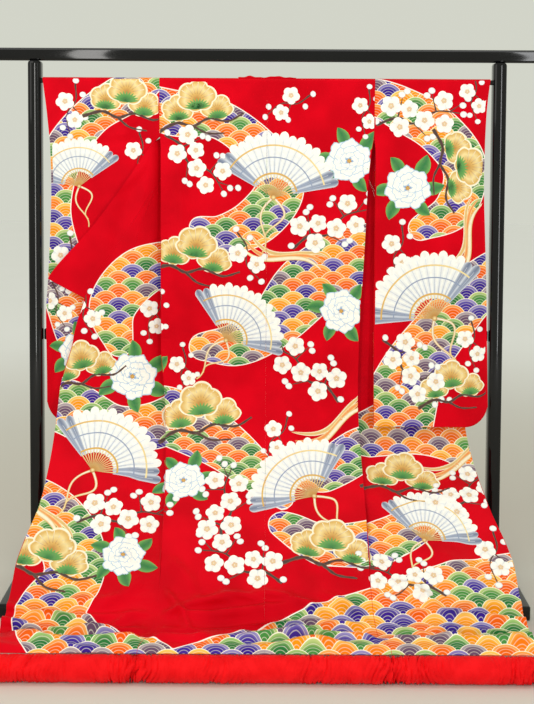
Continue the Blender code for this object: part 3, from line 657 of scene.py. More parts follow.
def waveField(uv):
    # overlapping circles in staggered rows; the lowest row whose circle covers the point shows
    width, step, radius = waves["width"], 2 * waves["rise"], waves["width"] / 2
    nudge = arrow("SUBTRACT", noise(uv, 14.0, 1.0, output="Color"), {1: (0.5, 0.5, 0.5)})
    moved = arrow("ADD", uv, {1: arrow("SCALE", nudge, {"Scale": waves["wobble"] * 2})})
    u, v = partOf(moved, 0), partOf(moved, 1)

    def rowOf(offsetU, offsetV):
        # the nearest circle's column, the distance from its middle line, and the lowest row that covers v
        column = calc("ROUND", (u - offsetU) / width)
        aside = (u - offsetU) - column * width
        arc = calc("SQRT", calc("MAXIMUM", radius ** 2 - aside * aside, 0.0))
        row = calc("FLOOR", ((v - offsetV) + arc) / step)
        return column, aside, row, row * step + offsetV

    evens, odds = rowOf(0.0, 0.0), rowOf(width / 2, waves["rise"])
    odd = calc("GREATER_THAN", odds[3], evens[3])
    column, aside, row, centre = (other * odd + even * (1.0 - odd) for even, other in zip(evens, odds))
    drop = v - centre
    reach = calc("SQRT", aside * aside + drop * drop) / radius
    # 40.5 keeps the odd rows' numbers apart from the even rows'
    cell = addNode(uv.tree, "CombineXYZ", {0: column + odd * 40.5, 1: row, 2: 0.37})
    chance = addNode(uv.tree, "TexWhiteNoise", {0: cell}, "Value", noise_dimensions="3D")
    deep, light = pickColour(chance, waves["deep"]), pickColour(chance, waves["light"])
    tone = mixColour(stepUp(reach, waves["lightStart"], waves["lightEnd"]), deep, light)
    arcs = stepUp(calc("COSINE", reach * (waves["arcs"] * 2 * math.pi)), 0.62, 1.0) * waves["arcShare"]
    rim = stepUp(reach, waves["rimStart"], waves["rimEnd"])
    return mixColour(rim, mixColour(arcs, tone, waves["rim"]), waves["rim"]), arcs + rim


satin = {
    "ground": (222, 3, 22), "shade": (196, 2, 15), "thread": (150, 2, 10), "threadShare": 0.16,
    "outline": (252, 244, 236), "outlineHalf": 0.0014,
    "roughness": 0.41, "sheen": 0.02, "gloss": 0.3, "glossTint": (1.0, 0.07, 0.17, 1.0), "weave": 0.0003,
    "sideSeam": 0.305, "puckerReach": 0.04, "pucker": 7.0,
}


def dressSatin(tree):
    uv = clothMap(tree)
    stream = addNode(tree, "Attribute", output="Fac", attribute_name="stream")
    tone, relief = waveField(uv)
    inside = 1.0 - stepUp(stream, -0.0003, 0.0003)
    # puckers beside the seams, by the distance from the nearest one
    across = calc("ABSOLUTE", partOf(uv, 0))
    seam = calc("MINIMUM", across, calc("ABSOLUTE", across - satin["sideSeam"]))
    pucker = noise(uv, 1.0, 1.0, (26.0, 95.0)) * (1.0 - stepUp(seam, 0.002, satin["puckerReach"]))
    relief = relief * inside * 0.5 + pucker * satin["pucker"]
    # a noise stretched along the threads is the weave
    fine = noise(uv, 1.0, 2.0, (1500.0, 160.0))
    weave = fine * 0.35 + noise(uv, 45.0, 3.0) * 4.5
    ground = mixColour(stepUp(noise(uv, 7.0, 2.0), 0.3, 0.72), satin["shade"], satin["ground"])
    ground = mixColour(fine * satin["threadShare"], ground, satin["thread"])
    # the pale outline runs along the stream's edge
    edge = calc("ABSOLUTE", stream - 0.0004)
    edge = 1.0 - stepUp(edge, satin["outlineHalf"] * 0.7, satin["outlineHalf"] * 1.3)
    return {
        "Base Color": mixColour(edge, mixColour(inside, ground, tone), satin["outline"]),
        "Normal": bumpOf(weave + relief, 0.55, satin["weave"]),
        "Roughness": fine * 0.14 + satin["roughness"],
        "Sheen Weight": satin["sheen"], "Sheen Roughness": 0.4,
        "Specular IOR Level": satin["gloss"], "Specular Tint": satin["glossTint"],
    }


lining = {
    "bright": (250, 22, 28), "shade": (236, 14, 20), "thread": (170, 6, 12), "threadShare": 0.2,
    "roughness": 0.52, "sheen": 0.02, "gloss": 0.2, "glossTint": (1.0, 0.3, 0.3, 1.0), "crepe": 0.00022,
}


def dressLining(tree):
    uv = clothMap(tree)
    fine, cloud = noise(uv, 1.0, 2.0, (420.0, 900.0)), noise(uv, 24.0, 3.0)
    tone = mixColour(stepUp(cloud, 0.35, 0.7), lining["shade"], lining["bright"])
    return {
        "Base Color": mixColour(fine * lining["threadShare"], tone, lining["thread"]),
        "Normal": bumpOf(fine * 0.5 + cloud * 1.2, 0.6, lining["crepe"]),
        "Roughness": fine * 0.12 + lining["roughness"],
        "Sheen Weight": lining["sheen"],
        "Specular IOR Level": lining["gloss"], "Specular Tint": lining["glossTint"],
    }


lacquer = {
    "tone": (4, 4, 5), "streak": (14, 13, 14), "roughness": 0.04, "cloudy": 0.04, "dusty": 0.02,
    "gloss": 0.3, "crown": 0.4,
}


def dressLacquer(tree):
    # normal + crown * offset from the bar's middle line: each flat side catches light as a slightly round one
    spot = addNode(tree, "TexCoord", output="Object")
    cloud = noise(spot, 9.0, 4.0)
    dust = stepUp(noise(spot, 420.0, 1.0), 0.62, 0.75)
    offset = addNode(tree, "Attribute", output="Vector", attribute_name="offset")
    lean = arrow("SCALE", offset, {"Scale": lacquer["crown"]})
    leaned = arrow("NORMALIZE", arrow("ADD", addNode(tree, "NewGeometry", output="Normal"), {1: lean}))
    return {
        "Base Color": mixColour(cloud, lacquer["tone"], lacquer["streak"]),
        "Normal": bumpOf(cloud, 0.05, 0.0003, Normal=leaned),
        "Roughness": cloud * lacquer["cloudy"] + dust * lacquer["dusty"] + lacquer["roughness"],
        "Specular IOR Level": lacquer["gloss"],
    }


silk = {"pitch": 0.0016, "relief": 0.00025, "roughness": 0.5, "sheen": 0.3, "gloss": 0.4}


def dressSilk(tree):
    # sine ridges one thread apart along u, wandering with a noise
    uv = clothMap(tree)
    drift = noise(uv, 90.0, 2.0)
    ridge = calc("SINE", partOf(uv, 0) * (2 * math.pi / silk["pitch"]) + drift * 2.0)
    tint = addNode(tree, "Attribute", output="Color", attribute_name="tint")
    return {
        "Base Color": mixColour(stepUp(drift, 0.35, 0.7) * 0.1, tint, (0.3, 0.22, 0.18, 1.0)),
        "Normal": bumpOf(ridge * 0.5 + drift * 0.8, 0.45, silk["relief"]),
        "Roughness": silk["roughness"], "Sheen Weight": silk["sheen"], "Specular IOR Level": silk["gloss"],
    }


patternedSatin, redLining = makeMaterial("patternedSatin", dressSatin), makeMaterial("redLining", dressLining)
blackLacquer, silkThread = makeMaterial("blackLacquer", dressLacquer), makeMaterial("silkThread", dressSilk)
print("materials made")


# the robe's cut pieces

bodyGrid = {
    "tucked": 14, "turn": 6, "outer": 26, "neck": 5, "over": 15, "gore": 21, "collar": 22,
    "frontTop": 0.2, "backTop": 0.3,
}
frontRows = spread(
    rodQuarter, (robe["turnStart"], 1), (bodyGrid["frontTop"], 36), (robe["okumiTop"], 14),
    (robe["okumiTip"], 1), (robe["collarEnd"], 46), (robe["floorStart"], 104), (hemDown, 56),
)
backRows = spread(rodQuarter, (bodyGrid["backTop"], 34), (robe["floorStart"], 140), (hemDown, 56))


def seamHalf(down):
    # half a seam's clearance, wider while the front turns
    turning = rise(down, seams["turnFrom"], seams["turnRise"])
    turning = turning * fade(down, seams["turnTo"], seams["turnFade"])
    return seams["half"] + seams["turnHalf"] * turning


def bodyAcross(down):
    # columns of the front: even over the tucked layer, over the turn and over the layer outside it
    depthIn = readTable(tuck, 1, down)
    bend = robe["foldRadius"] * np.radians(readTable(tuck, 2, down)) + 0.0004
    edge = np.minimum(readTable(collarSeam, 1, down), robe["panelWidth"]) - seamHalf(down)
    start = depthIn + bend
    stretches = ((0, depthIn, "tucked"), (depthIn, start, "turn"), (start, edge, "outer"))
    columns = [0 * down[:, None]]
    for low, high, part in stretches:
        share = np.linspace(0, 1, bodyGrid[part] + 1)[None, 1:]
        columns.append((low + 0 * high)[:, None] + (high - low)[:, None] * share)
    return np.concatenate(columns, axis=1)


def makePanel(kind, word, side, surface, along, across, height, stream, keep=None):
    # outer = surface + height * normal; inner = outer - thickness * normal;
    # u is the plain surface's X, v the way from the shoulder
    outer, normal = liftOff(surface, side, along, across, height)
    uv = np.stack([surface(side, along, across)[..., 0], np.abs(along)], axis=-1)
    inner = outer - robe["thick"] * normal
    return makeShell(kind + word, kind + "_" + word.lower(), outer, inner, uv, stream, keep, flip=side < 0)


def makeBody(side, word):
    # rows from the back's hem over the shoulder to the front's hem; the columns past the neck are cut away
    front = bodyAcross(frontRows)
    top = front[0]
    even = np.linspace(0, top[-1], len(top))
    blend = rise(backRows, rodQuarter, 0.2)[:, None]
    back = top[None, :] * (1 - blend) + even[None, :] * blend
    arc = np.linspace(-rodQuarter, rodQuarter, bodyGrid["over"])[1:-1]
    neckRow = 5
    arc[neckRow] = -robe["neckSet"]
    over = np.repeat(top[None, :], len(arc), axis=0)
    rows = np.concatenate([back[::-1], over, front])
    neckShare = np.linspace(0, 1, bodyGrid["neck"] + 1)[1:]
    across = np.concatenate([rows, rows[:, -1:] + (robe["shoulderHalf"] - rows[:, -1:]) * neckShare], axis=1)
    along = np.concatenate([-backRows[::-1], arc, frontRows])[:, None] + 0 * across
    u, v = bodyPoint(side, along, across)[..., 0], np.abs(along)
    height = np.where(along > 0, frontHeight(side, across, u, v), backHeight(u, v))
    behind, before = (streamDistance((panel, "hem"), u, v) for panel in ("back", "front"))
    tucked = (along > 0) & (across < turnOf(v)[0])
    keep = np.ones((across.shape[0] - 1, across.shape[1] - 1), dtype=bool)
    keep[len(backRows) + neckRow:, len(top) - 1:] = False
    stream = np.where(tucked, 0.5, np.where(along < 0, behind, before))
    made = makePanel("body", word, side, bodyPoint, along, across, height, stream, keep)


def makeOkumi(side, word):
    # the gore: even columns from the front panel's seam to the collar's seam
    down = frontRows[frontRows > robe["okumiTip"] - 1e-9]
    innerEdge = robe["panelWidth"] + seamHalf(down)
    outerEdge = readTable(collarSeam, 1, down) - seamHalf(down)
    share = np.linspace(0, 1, bodyGrid["gore"])[None, :]
    across = innerEdge[:, None] + share * (outerEdge - innerEdge)[:, None]
    along = down[:, None] + 0 * across
    u = frontPoint(side, along, across)[..., 0]
    stream = streamDistance(("front", "hem"), u, along)
    height = frontHeight(side, across, u, along)
    made = makePanel("okumi", word, side, frontPoint, along, across, height, stream)
    "body" + word


def makeCollar(side, word):
    # from its seam outwards by its width, each column rising towards the free edge
    down = frontRows[frontRows < robe["collarEnd"] + 1e-9]
    share = np.linspace(0, 1, bodyGrid["collar"])[None, :]
    seam = (readTable(collarSeam, 1, down) + seamHalf(down))[:, None]
    across = seam + share * readTable(collarShape, 1, down)[:, None]
    along = down[:, None] - share * readTable(collarShape, 2, down)[:, None]
    height = frontHeight(side, across, frontPoint(side, along, across)[..., 0], along)
    made = makePanel("collar", word, side, frontPoint, along, across, height, np.full(along.shape, 0.5))
    "body" + word


neckCollar = {
    "clear": 0.0006, "inset": 0.0016, "mitreInset": 0.0052, "fall": 0.053,
    "rows": 12, "turns": 14, "columns": 61,
    "wrinkles": ((-0.052, 0.016, 0.0045), (0.026, 0.022, 0.004)), "ripple": 0.0008,
}


def makeNeckCollar():
    # half a turn of a tube over the rod, then straight down, narrowing to the mitres
    thick = 2 * robe["thick"]
    radius = robe["rodRadius"] + robe["rodClear"] + thick
    turnStart = -(robe["neckSet"] - neckCollar["clear"]) / shoulderRadius
    turns = np.linspace(turnStart, math.pi / 2, neckCollar["turns"])
    falls = np.linspace(0, neckCollar["fall"], neckCollar["rows"])[1:]
    mitre = robe["neckHalf"] - neckCollar["mitreInset"]
    half = np.concatenate([np.full(len(turns), robe["neckHalf"] - neckCollar["inset"]), mitre - falls])
    half[len(turns) - 1] = mitre
    out = half[:, None] * np.linspace(-1, 1, neckCollar["columns"])[None, :]
    bump = neckCollar["ripple"] * np.sin(out * 210)
    for centre, width, height in neckCollar["wrinkles"]:
        bump = bump + height * np.exp(-((out - centre) / width) ** 2)

    def layer(distance, lifted):
        roundY = distance * np.sin(turns)[:, None] + 0 * out[:len(turns)]
        roundZ = robe["rodHeight"] + (distance + lifted * bump[:len(turns)]) * np.cos(turns)[:, None]
        hangY = np.full(out[len(turns):].shape, distance)
        hangZ = robe["rodHeight"] - falls[:, None] + 0 * out[len(turns):]
        return np.stack([out, np.vstack([roundY, hangY]), np.vstack([roundZ, hangZ])], axis=-1)

    length = np.concatenate([turns * radius, turns[-1] * radius + falls])
    uv = np.stack([out, length[:, None] + 0 * out], axis=-1)
    plain = np.full(out.shape, 0.5)
    outer, inner = layer(radius, 1), layer(radius - thick, 0)
    made = makeShell("collarNeck", "collar_neck", outer, inner, uv, plain, flip=True)


# sleeves
# height, left outer edge, right outer edge, closed share of that edge

sleeveEdge = (
    (0.475, 0.661, 0.666, 1.0), (0.6, 0.661, 0.666, 1.0), (0.8, 0.663, 0.663, 1.0), (0.9, 0.657, 0.66, 1.0),
    (1.03, 0.65, 0.655, 1.0), (1.18, 0.645, 0.649, 1.0), (1.23, 0.645, 0.648, 0.9), (1.29, 0.645, 0.648, 0.0),
    (1.4, 0.653, 0.651, 0.0), (1.5, 0.665, 0.66, 0.0), (1.52, 0.667, 0.663, 0.0),
)
# height, left inner edge, right inner edge, how far each sleeve is pushed back
sleeveInner = (
    (0.46, 0.366, 0.324, 0.009, -0.03), (0.6, 0.366, 0.324, 0.009, -0.012), (0.8, 0.366, 0.324, 0.009, 0.0),
    (1.2, 0.366, 0.324, 0.009, 0.0), (1.27, 0.365, 0.324, 0.007, 0.0), (1.298, 0.352, 0.3236, 0.005, 0.0),
    (1.32, 0.3392, 0.3212, 0.005, 0.0), (1.331, 0.329, 0.3198, 0.0035, 0.0),
    (1.336, 0.3222, 0.3194, 0.002, 0.0), (1.341, 0.319, 0.3194, 0.001, 0.0),
    (1.348, 0.3188, 0.3194, 0.0, 0.0), (1.358, 0.3193, 0.3194, 0.0, 0.0), (1.52, 0.3202, 0.3202, 0.0, 0.0),
)
bag = {
    "inner": 0.324, "width": 0.338, "outer": 0.662, "bottom": 0.475, "corner": 0.07, "seam": 0.0048,
    "cornerShare": 0.985, "closeWidth": 0.14, "closedGap": 0.0006, "openRise": 0.1,
    "calmEnds": 0.03, "calmInner": 0.04, "calmCuff": 0.05,
    "foot": 0.05, "top": 0.42, "columns": 46, "rows": 118, "turnRows": 7, "edgeColumns": 8,
}


def ringOf(around):
    # 0 at the bag's foot, 0.5 over the rod, on either face
    return np.where(around < 0.5, around, 1 - around)


def overRod(ring):
    # 0 where the face leaves the straight part, 1 at the top of the rod
    return np.clip((ring - bag["top"]) / (0.5 - bag["top"]), 0, 1)


def bagBottom(share, inset=0.0):
    # the level lower edge, rounded by a quarter circle at the outer corner
    straight = bag["outer"] - bag["corner"]
    past = np.clip(bag["inner"] + bag["width"] * share - straight, 0, bag["corner"] * bag["cornerShare"])
    drop = np.sqrt(bag["corner"] ** 2 - past ** 2)
    return bag["bottom"] + bag["corner"] - drop + inset * (bag["corner"] / drop - 1)


def sleevePoint(side, around, share, inset=0.0):
    # a flat bag: half thickness by height, a quarter turn under the seam and one over the rod
    ring = ringOf(around)
    bottom = bagBottom(share, inset)
    lift = np.clip((ring - bag["foot"]) / (bag["top"] - bag["foot"]), 0, 1)
    height = bottom + bag["seam"] + lift * (robe["rodHeight"] - bottom - bag["seam"])
    closed = readTable(sleeveEdge, 3, height) * rise(share, 1 - bag["closeWidth"], bag["closeWidth"])
    low = rise(height - bottom, 0, bag["openRise"])
    half = shoulderRadius * low + bag["seam"] * (1 - low)
    half = half + (robe["thick"] + bag["closedGap"] - half) * closed
    underHalf = np.minimum(half, bag["seam"]) - inset
    half = half - inset
    over = overRod(ring) * math.pi / 2
    under = np.clip((bag["foot"] - ring) / bag["foot"], 0, 1) * math.pi / 2
    depth = -half * np.cos(over) * np.cos(under)
    height = height + half * np.sin(over) - underHalf * np.sin(under)
    out = sided(sleeveInner, side, height) * (1 - share) + sided(sleeveEdge, side, height) * share
    depth = np.where(around < 0.5, depth, -depth) + sided(sleeveInner, side, height, 3)
    return np.stack([side * out, depth, height], axis=-1)


def sleeveMap(around, points):
    # v is the distance down from the rod: positive on the viewer's face, negative on the other
    over = overRod(ringOf(around))
    down = np.maximum(robe["rodHeight"] - points[..., 2], 0) + rodQuarter
    down = np.where(over > 0, rodQuarter * (1 - over), down)
    return np.stack([points[..., 0], np.where(around < 0.5, down, -down)], axis=-1)


def sleeveHeight(around, share, u, v):
    # creases fade at the bottom seam, at the rod and at both edges; each face is raised outwards
    ring = ringOf(around)
    ends = bag["calmEnds"]
    free = rise(ring, bag["foot"], ends) * fade(ring - bag["top"], -ends, ends)
    free = free * rise(share, 0, bag["calmInner"]) * rise(1 - share, 0, bag["calmCuff"])
    return (creaseHeight(sleeveCreases, u, v) + softWave(u, v)) * free


def pushOut(around, height):
    # a move along Y, towards the viewer on the face that looks there
    return (height * np.where(around < 0.5, -1.0, 1.0))[..., None] * np.array([0.0, 1.0, 0.0])


def makeSleeve(side, word):
    # rows go round the bag from its foot, columns from the inner edge to the cuff, closer near the cuff
    turns, dense = bag["turnRows"], bag["edgeColumns"]
    face = spread(0, (bag["foot"], turns), (bag["top"], bag["rows"]), (0.5, turns))
    around = np.concatenate([face, (1 - face[1:-1])[::-1]])[:, None]
    cuff = 0.9 + 0.1 * np.sin(np.radians(np.linspace(11, 90, dense)))
    share = np.concatenate([np.linspace(0, 0.9, bag["columns"] - dense), cuff])[None, :]
    around, share = np.broadcast_arrays(around, share)
    outer, inner = sleevePoint(side, around, share), sleevePoint(side, around, share, robe["thick"])
    uv = sleeveMap(around, outer)
    push = pushOut(around, sleeveHeight(around, share, uv[..., 0], uv[..., 1]))
    stream = streamDistance(("sleeve",), uv[..., 0], uv[..., 1])
    made = makeShell(
        "sleeve" + word, "sleeve_" + word.lower(), (outer + push)[:, ::-1], (inner + push)[:, ::-1],
        uv[:, ::-1], stream[:, ::-1], closed=True, flip=side < 0,
    )


# the padded hem

roll = {
    "forward": 0.6284, "radius": 0.0325, "seam": 0.315, "end": 0.703, "step": 0.0026, "spokes": 52,
    "pleat": 0.015, "depth": 0.0036, "pitches": (0.55, 0.83, 1.0, 1.31, 1.77, 2.3), "most": 0.0012,
    "endGather": 0.91, "endReach": 0.03, "endDepth": 0.8, "endSpread": 0.07,
    "rim": 0.0008, "rimReach": 0.001, "rimShare": 0.93,
    "press": 1.04, "hemRadius": 0.0316, "hemAngle": 115.0, "hemSpan": 16.0, "hemFade": 14.0,
}


def makeRoll(name, node, start, end, seed):
    # a tube along X whose radius carries uneven slanting gathers, flat where it lies on the floor
    out = np.arange(start + roll["rim"], end - roll["rim"], roll["step"])
    out = np.concatenate([[start], out, [end]])[:, None]
    turn = (np.linspace(0, 2 * math.pi, roll["spokes"] + 1)[:-1] - math.pi / 2)[None, :]
    nearness = np.minimum(out - start, end - out)
    rng = np.random.default_rng(seed)
    phases = rng.uniform(0, 2 * math.pi, 8)
    # folds = sum of sines along X, each slanted and shifted by its own phase; their zeros are the creases
    slant = 0.01 * np.sin(turn * 1.0 + 3 * np.sin(out * 7.0)) + 0.004 * np.sin(turn * 2 + out * 31)
    lane = (out + slant) * 2 * math.pi / roll["pleat"]
    folds = 0
    for at, pitch in enumerate(roll["pitches"]):
        sway = 0.8 * np.sin(turn * (1 + at % 3) + phases[7 - at])
        folds = folds + np.sin(lane * pitch + phases[at] + sway) / (1 + 0.35 * at)
    strength = 0.2 + 0.5 * np.sin(out * 13 + phases[6]) ** 2
    strength = strength + roll["endDepth"] * np.exp(-(nearness / roll["endSpread"]) ** 2)
    gather = roll["endGather"] + (1 - roll["endGather"]) * rise(nearness, 0, roll["endReach"])
    gather = gather * (0.975 + 0.025 * np.sin(out * 17 + phases[3]))
    radius = roll["radius"] * gather + roll["depth"] * (0.4 - np.abs(folds)) * strength
    rounded = np.where(nearness < roll["rimReach"], roll["rimShare"], 1.0)
    radius = np.minimum(radius, roll["radius"] + roll["most"]) * rounded
    # the top stays level, and the lower half reaches down to the floor
    middle = roll["radius"] * (2 - gather)
    lower = roll["press"] * middle / (roll["radius"] * gather)
    height = middle + radius * np.sin(turn) * np.where(np.sin(turn) < 0, lower, 1.0)
    # drawn in where the cloth's hem lies against it
    reach = np.hypot(radius * np.cos(turn), height - roll["radius"])
    angle = np.degrees(np.arctan2(height - roll["radius"], radius * np.cos(turn)))
    near = fade(np.abs(angle - roll["hemAngle"]), roll["hemSpan"], roll["hemFade"])
    drawn = 1 - near * (1 - np.minimum(1, roll["hemRadius"] / reach))
    forward = -roll["forward"] - radius * np.cos(turn) * drawn
    height = np.maximum(roll["radius"] + (height - roll["radius"]) * drawn, 0.0)
    points = np.stack(np.broadcast_arrays(out, forward, height), axis=-1)
    # the wall's quads, and at each end a fan of quads round the axis
    rows, count = points.shape[:2]
    index = numberGrid(rows, count)
    loop = np.concatenate([index, index[:, :1]], axis=1)
    pairs = np.arange(0, count, 2)
    caps = []
    for row, steps in ((0, (0, 1, 2)), (-1, (2, 1, 0))):
        centre = np.full(len(pairs), rows * count - row)
        caps.append(np.stack([centre] + [loop[row, pairs + step] for step in steps], axis=-1))
    quads = np.concatenate([cellsOf(loop).reshape(-1, 4)] + caps)
    axis = np.array([[x, -roll["forward"], roll["radius"]] for x in (start, end)])
    uv = np.stack(np.broadcast_arrays(out, turn * roll["radius"]), axis=-1).reshape(-1, 2)
    made = makeMesh(
        name, np.concatenate([points.reshape(-1, 3), axis]), quads, (redLining,),
        uv=np.concatenate([uv, [[start, 0.0], [end, 0.0]]]), sharp=75,
    )
    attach(made, "root")
    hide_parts(node)


for makePair in (makeBody, makeOkumi, makeCollar):
    makePair(-1, "Left")
    makePair(1, "Right")
makeNeckCollar()
makeSleeve(-1, "Left")
makeSleeve(1, "Right")
joint = seams["gap"] / 2
makeRoll("hemRollBack", "hem_roll_back", -roll["seam"] + joint, roll["seam"] - joint, 3)
makeRoll("hemRollLeft", "hem_roll_left", -roll["end"], -roll["seam"] - joint, 5)
makeRoll("hemRollRight", "hem_roll_right", roll["seam"] + joint, roll["end"], 8)
print("robe made")


def dressBar(bar):
    # offset = (place - middle) / half size, without the part along the bar
    mesh = bar.data
    places = np.empty(len(mesh.vertices) * 3, dtype=np.float32)
    mesh.vertices.foreach_get("co", places)
    places = places.reshape(-1, 3)
    low, high = places.min(axis=0), places.max(axis=0)
    offset = (2 * places - low - high) / (high - low)
    offset[:, np.argmax(high - low)] = 0.0
    mesh.attributes.new("offset", "FLOAT_VECTOR", "POINT").data.foreach_set("vector", offset.ravel())
    for slot in bar.material_slots:
        slot.material = blackLacquer


for name in ("rod", "post_left", "post_right", "top_rail", "mid_rail", "base_bar", "foot_left", "foot_right"):
    dressBar(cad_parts[name])
print("stand dressed")


# motifs
# each motif is a set of thin pads of silk thread lying on the cloth; a pad is a grid of (u, v) points
# with a colour for each point and a level that tells how far it stands above its neighbours

thread = {
    "lift": 0.0006, "foldLift": 0.0012, "foldSoft": 0.05, "level": 0.00014, "sink": 0.0001, "overshoot": 0.02,
    "white": (253, 252, 244), "pearl": (214, 220, 230), "greyBlue": (142, 156, 184), "slate": (92, 104, 134),
    "gold": (220, 172, 76), "paleGold": (244, 222, 158), "ochre": (190, 130, 44), "cream": (252, 244, 216),
    "bark": (44, 24, 26), "brown": (112, 66, 40), "green": (18, 116, 50), "leaf": (112, 176, 82),
    "blue": (112, 168, 220), "sky": (188, 212, 234), "tan": (204, 144, 104), "orange": (240, 132, 40),
}


def dye(name):
    return np.array(colour(thread[name])[:3])


def blendDyes(keys, names, at):
    # piecewise linear run through the named dyes
    dyes = np.array([dye(name) for name in names])
    return np.stack([np.interp(at, keys, dyes[:, part]) for part in range(3)], axis=-1)


def evenAngles(count):
    return np.linspace(0, 2 * math.pi, count, endpoint=False)


def towards(degrees):
    # a step of length 1, turned clockwise from straight up; v runs down
    return np.array([math.sin(math.radians(degrees)), -math.cos(math.radians(degrees))])


def strip(path, half, first, last, edge=None, level=0.0, columns=5):
    # a band along a path, of the given half widths, tinted from first to last and towards its edges
    path = np.array(path, dtype=float)
    heading = np.gradient(path, axis=0)
    heading /= np.linalg.norm(heading, axis=1, keepdims=True)
    aside = np.stack([-heading[:, 1], heading[:, 0]], axis=1)
    across = np.linspace(-1, 1, columns)
    half = np.maximum(np.broadcast_to(half, len(path)), 0.0004)
    points = path[:, None, :] + (across[None, :, None] * half[:, None, None]) * aside[:, None, :]
    share = np.linspace(0, 1, len(path))[:, None, None]
    tint = dye(first) * (1 - share) + dye(last) * share + np.zeros((1, columns, 1))
    if edge:
        reach = (across ** 2)[None, :, None]
        tint = tint * (1 - reach) + dye(edge) * reach
    return {"points": points, "tint": tint, "level": level, "closed": False}


def ray(centre, step, shares, half, first, last, level):
    # a straight thin strip from the centre, at those shares of the step
    return strip(np.array(centre) + shares[:, None] * step, half, first, last, None, level, 3)


def disc(centre, radii, radial, names, keys, level, tip=None):
    # rings round a centre; radii gives the outline for even angles, radial the share of it at each ring
    angles = evenAngles(len(radii))
    radial = np.array(radial)
    spokes = np.stack([np.cos(angles), np.sin(angles)], axis=1)
    points = np.array(centre) + spokes[:, None, :] * (radii[:, None] * radial[None, :])[:, :, None]
    tint = blendDyes(keys, names, radial)[None, :, :] + np.zeros((len(radii), 1, 1))
    if tip is not None:
        pearl = tip[:, None, None] * radial[None, :, None]
        tint = tint * (1 - pearl) + dye("pearl") * pearl
    return {"points": points, "tint": tint, "level": level, "closed": True}


def blossom(u, v, size, level=4.0, turn=0.0):
    # five round petals: the farthest of five circles whose centres stand round the middle
    angles, fifth = evenAngles(40), 2 * math.pi / 5
    near = (angles - math.radians(turn) + fifth / 2) % fifth - fifth / 2
    stand, petal = 0.55 * size, 0.47 * size
    radii = stand * np.cos(near) + np.sqrt(np.maximum(petal ** 2 - (stand * np.sin(near)) ** 2, 0))
    notch = rise(np.abs(near), 0.42, 0.2) * 0.8
    petals = disc(
        (u, v), radii, (0.05, 0.14, 0.26, 0.3, 0.6, 1.0),
        ("tan", "paleGold", "tan", "white", "white"), (0.05, 0.14, 0.25, 0.31, 1.0), level, notch,
    )
    heart = disc((u, v), np.full(14, 0.13 * size), (0.2, 1.0), ("cream", "tan"), (0.2, 1.0), level + 1)
    return [petals, heart]


def bud(u, v, size):
    # a nearly round white disc
    radii = size * (1 + 0.06 * np.cos(2 * evenAngles(14)))
    return [disc((u, v), radii, (0.1, 0.6, 1.0), ("white", "white", "pearl"), (0.1, 0.7, 1.0), 3.5)]


def branch(knots, start, end, level=0.5):
    # a strip along a curve through the knots, its half width running from start to end with small knobs
    path = curveThrough([(u, v, 0) for u, v in knots], 6)[:, :2]
    knobs = 1 + 0.22 * np.sin(np.arange(len(path)) * 1.9)
    return [strip(path, np.linspace(start, end, len(path)) * knobs, "bark", "bark", "brown", level, 4)]


def leafAt(spot, turn, length):
    # a bowed strip that swells to its middle
    along = np.linspace(0, 1, 9)
    heading = towards(turn)
    bow = 0.1 * length * np.sin(along * math.pi)
    path = spot + along[:, None] * length * heading + bow[:, None] * np.array([-heading[1], heading[0]])
    return strip(path, 0.27 * length * np.sin(along * math.pi) ** 0.8, "green", "green", "leaf", 1.0)


def spray():
    # a plum branch with blossoms and buds, about a quarter of a metre long
    stem = [(-0.12, 0.05), (-0.06, 0.02), (-0.01, 0.03), (0.05, -0.015), (0.12, -0.02)]
    made = branch(stem, 0.0042, 0.0016)
    for first, second, start, end in (
        ((-0.06, 0.02), (-0.055, -0.04), 0.0022, 0.001), ((0.05, -0.015), (0.03, -0.065), 0.0022, 0.001),
        ((0.09, -0.02), (0.135, -0.06), 0.0018, 0.0009), ((-0.01, 0.03), (0.03, 0.06), 0.002, 0.001),
    ):
        made += branch([first, second], start, end)
    for u, v, size, turn in (
        (-0.085, -0.012, 0.031, 10), (-0.03, -0.01, 0.027, 40), (-0.05, 0.046, 0.03, 25),
        (0.02, 0.016, 0.03, 5), (0.08, 0.018, 0.028, 50), (0.068, -0.05, 0.029, 30),
    ):
        made += blossom(u, v, size, 4.0 + 40 * abs(u), turn)
    for u, v in (
        (-0.058, -0.05), (-0.044, -0.062), (0.028, -0.074), (0.016, -0.058), (0.138, -0.066), (0.126, -0.044),
        (0.132, -0.018), (0.036, 0.068), (0.052, 0.06), (-0.122, 0.04),
    ):
        made += bud(u, v, 0.0098)
    return made


def twig():
    # a short drooping twig: two blossoms and five buds
    made = branch([(0.0, -0.08), (0.012, -0.03), (-0.006, 0.02), (0.014, 0.075)], 0.0026, 0.001)
    made += branch([(0.005, -0.01), (0.045, 0.02)], 0.0016, 0.0009)
    made += blossom(-0.02, -0.02, 0.029, 4.0, 15) + blossom(0.022, 0.03, 0.027, 4.6, 45)
    for u, v in ((0.052, 0.016), (0.03, -0.052), (0.018, 0.084), (-0.01, 0.062), (0.0, -0.09)):
        made += bud(u, v, 0.0095)
    return made


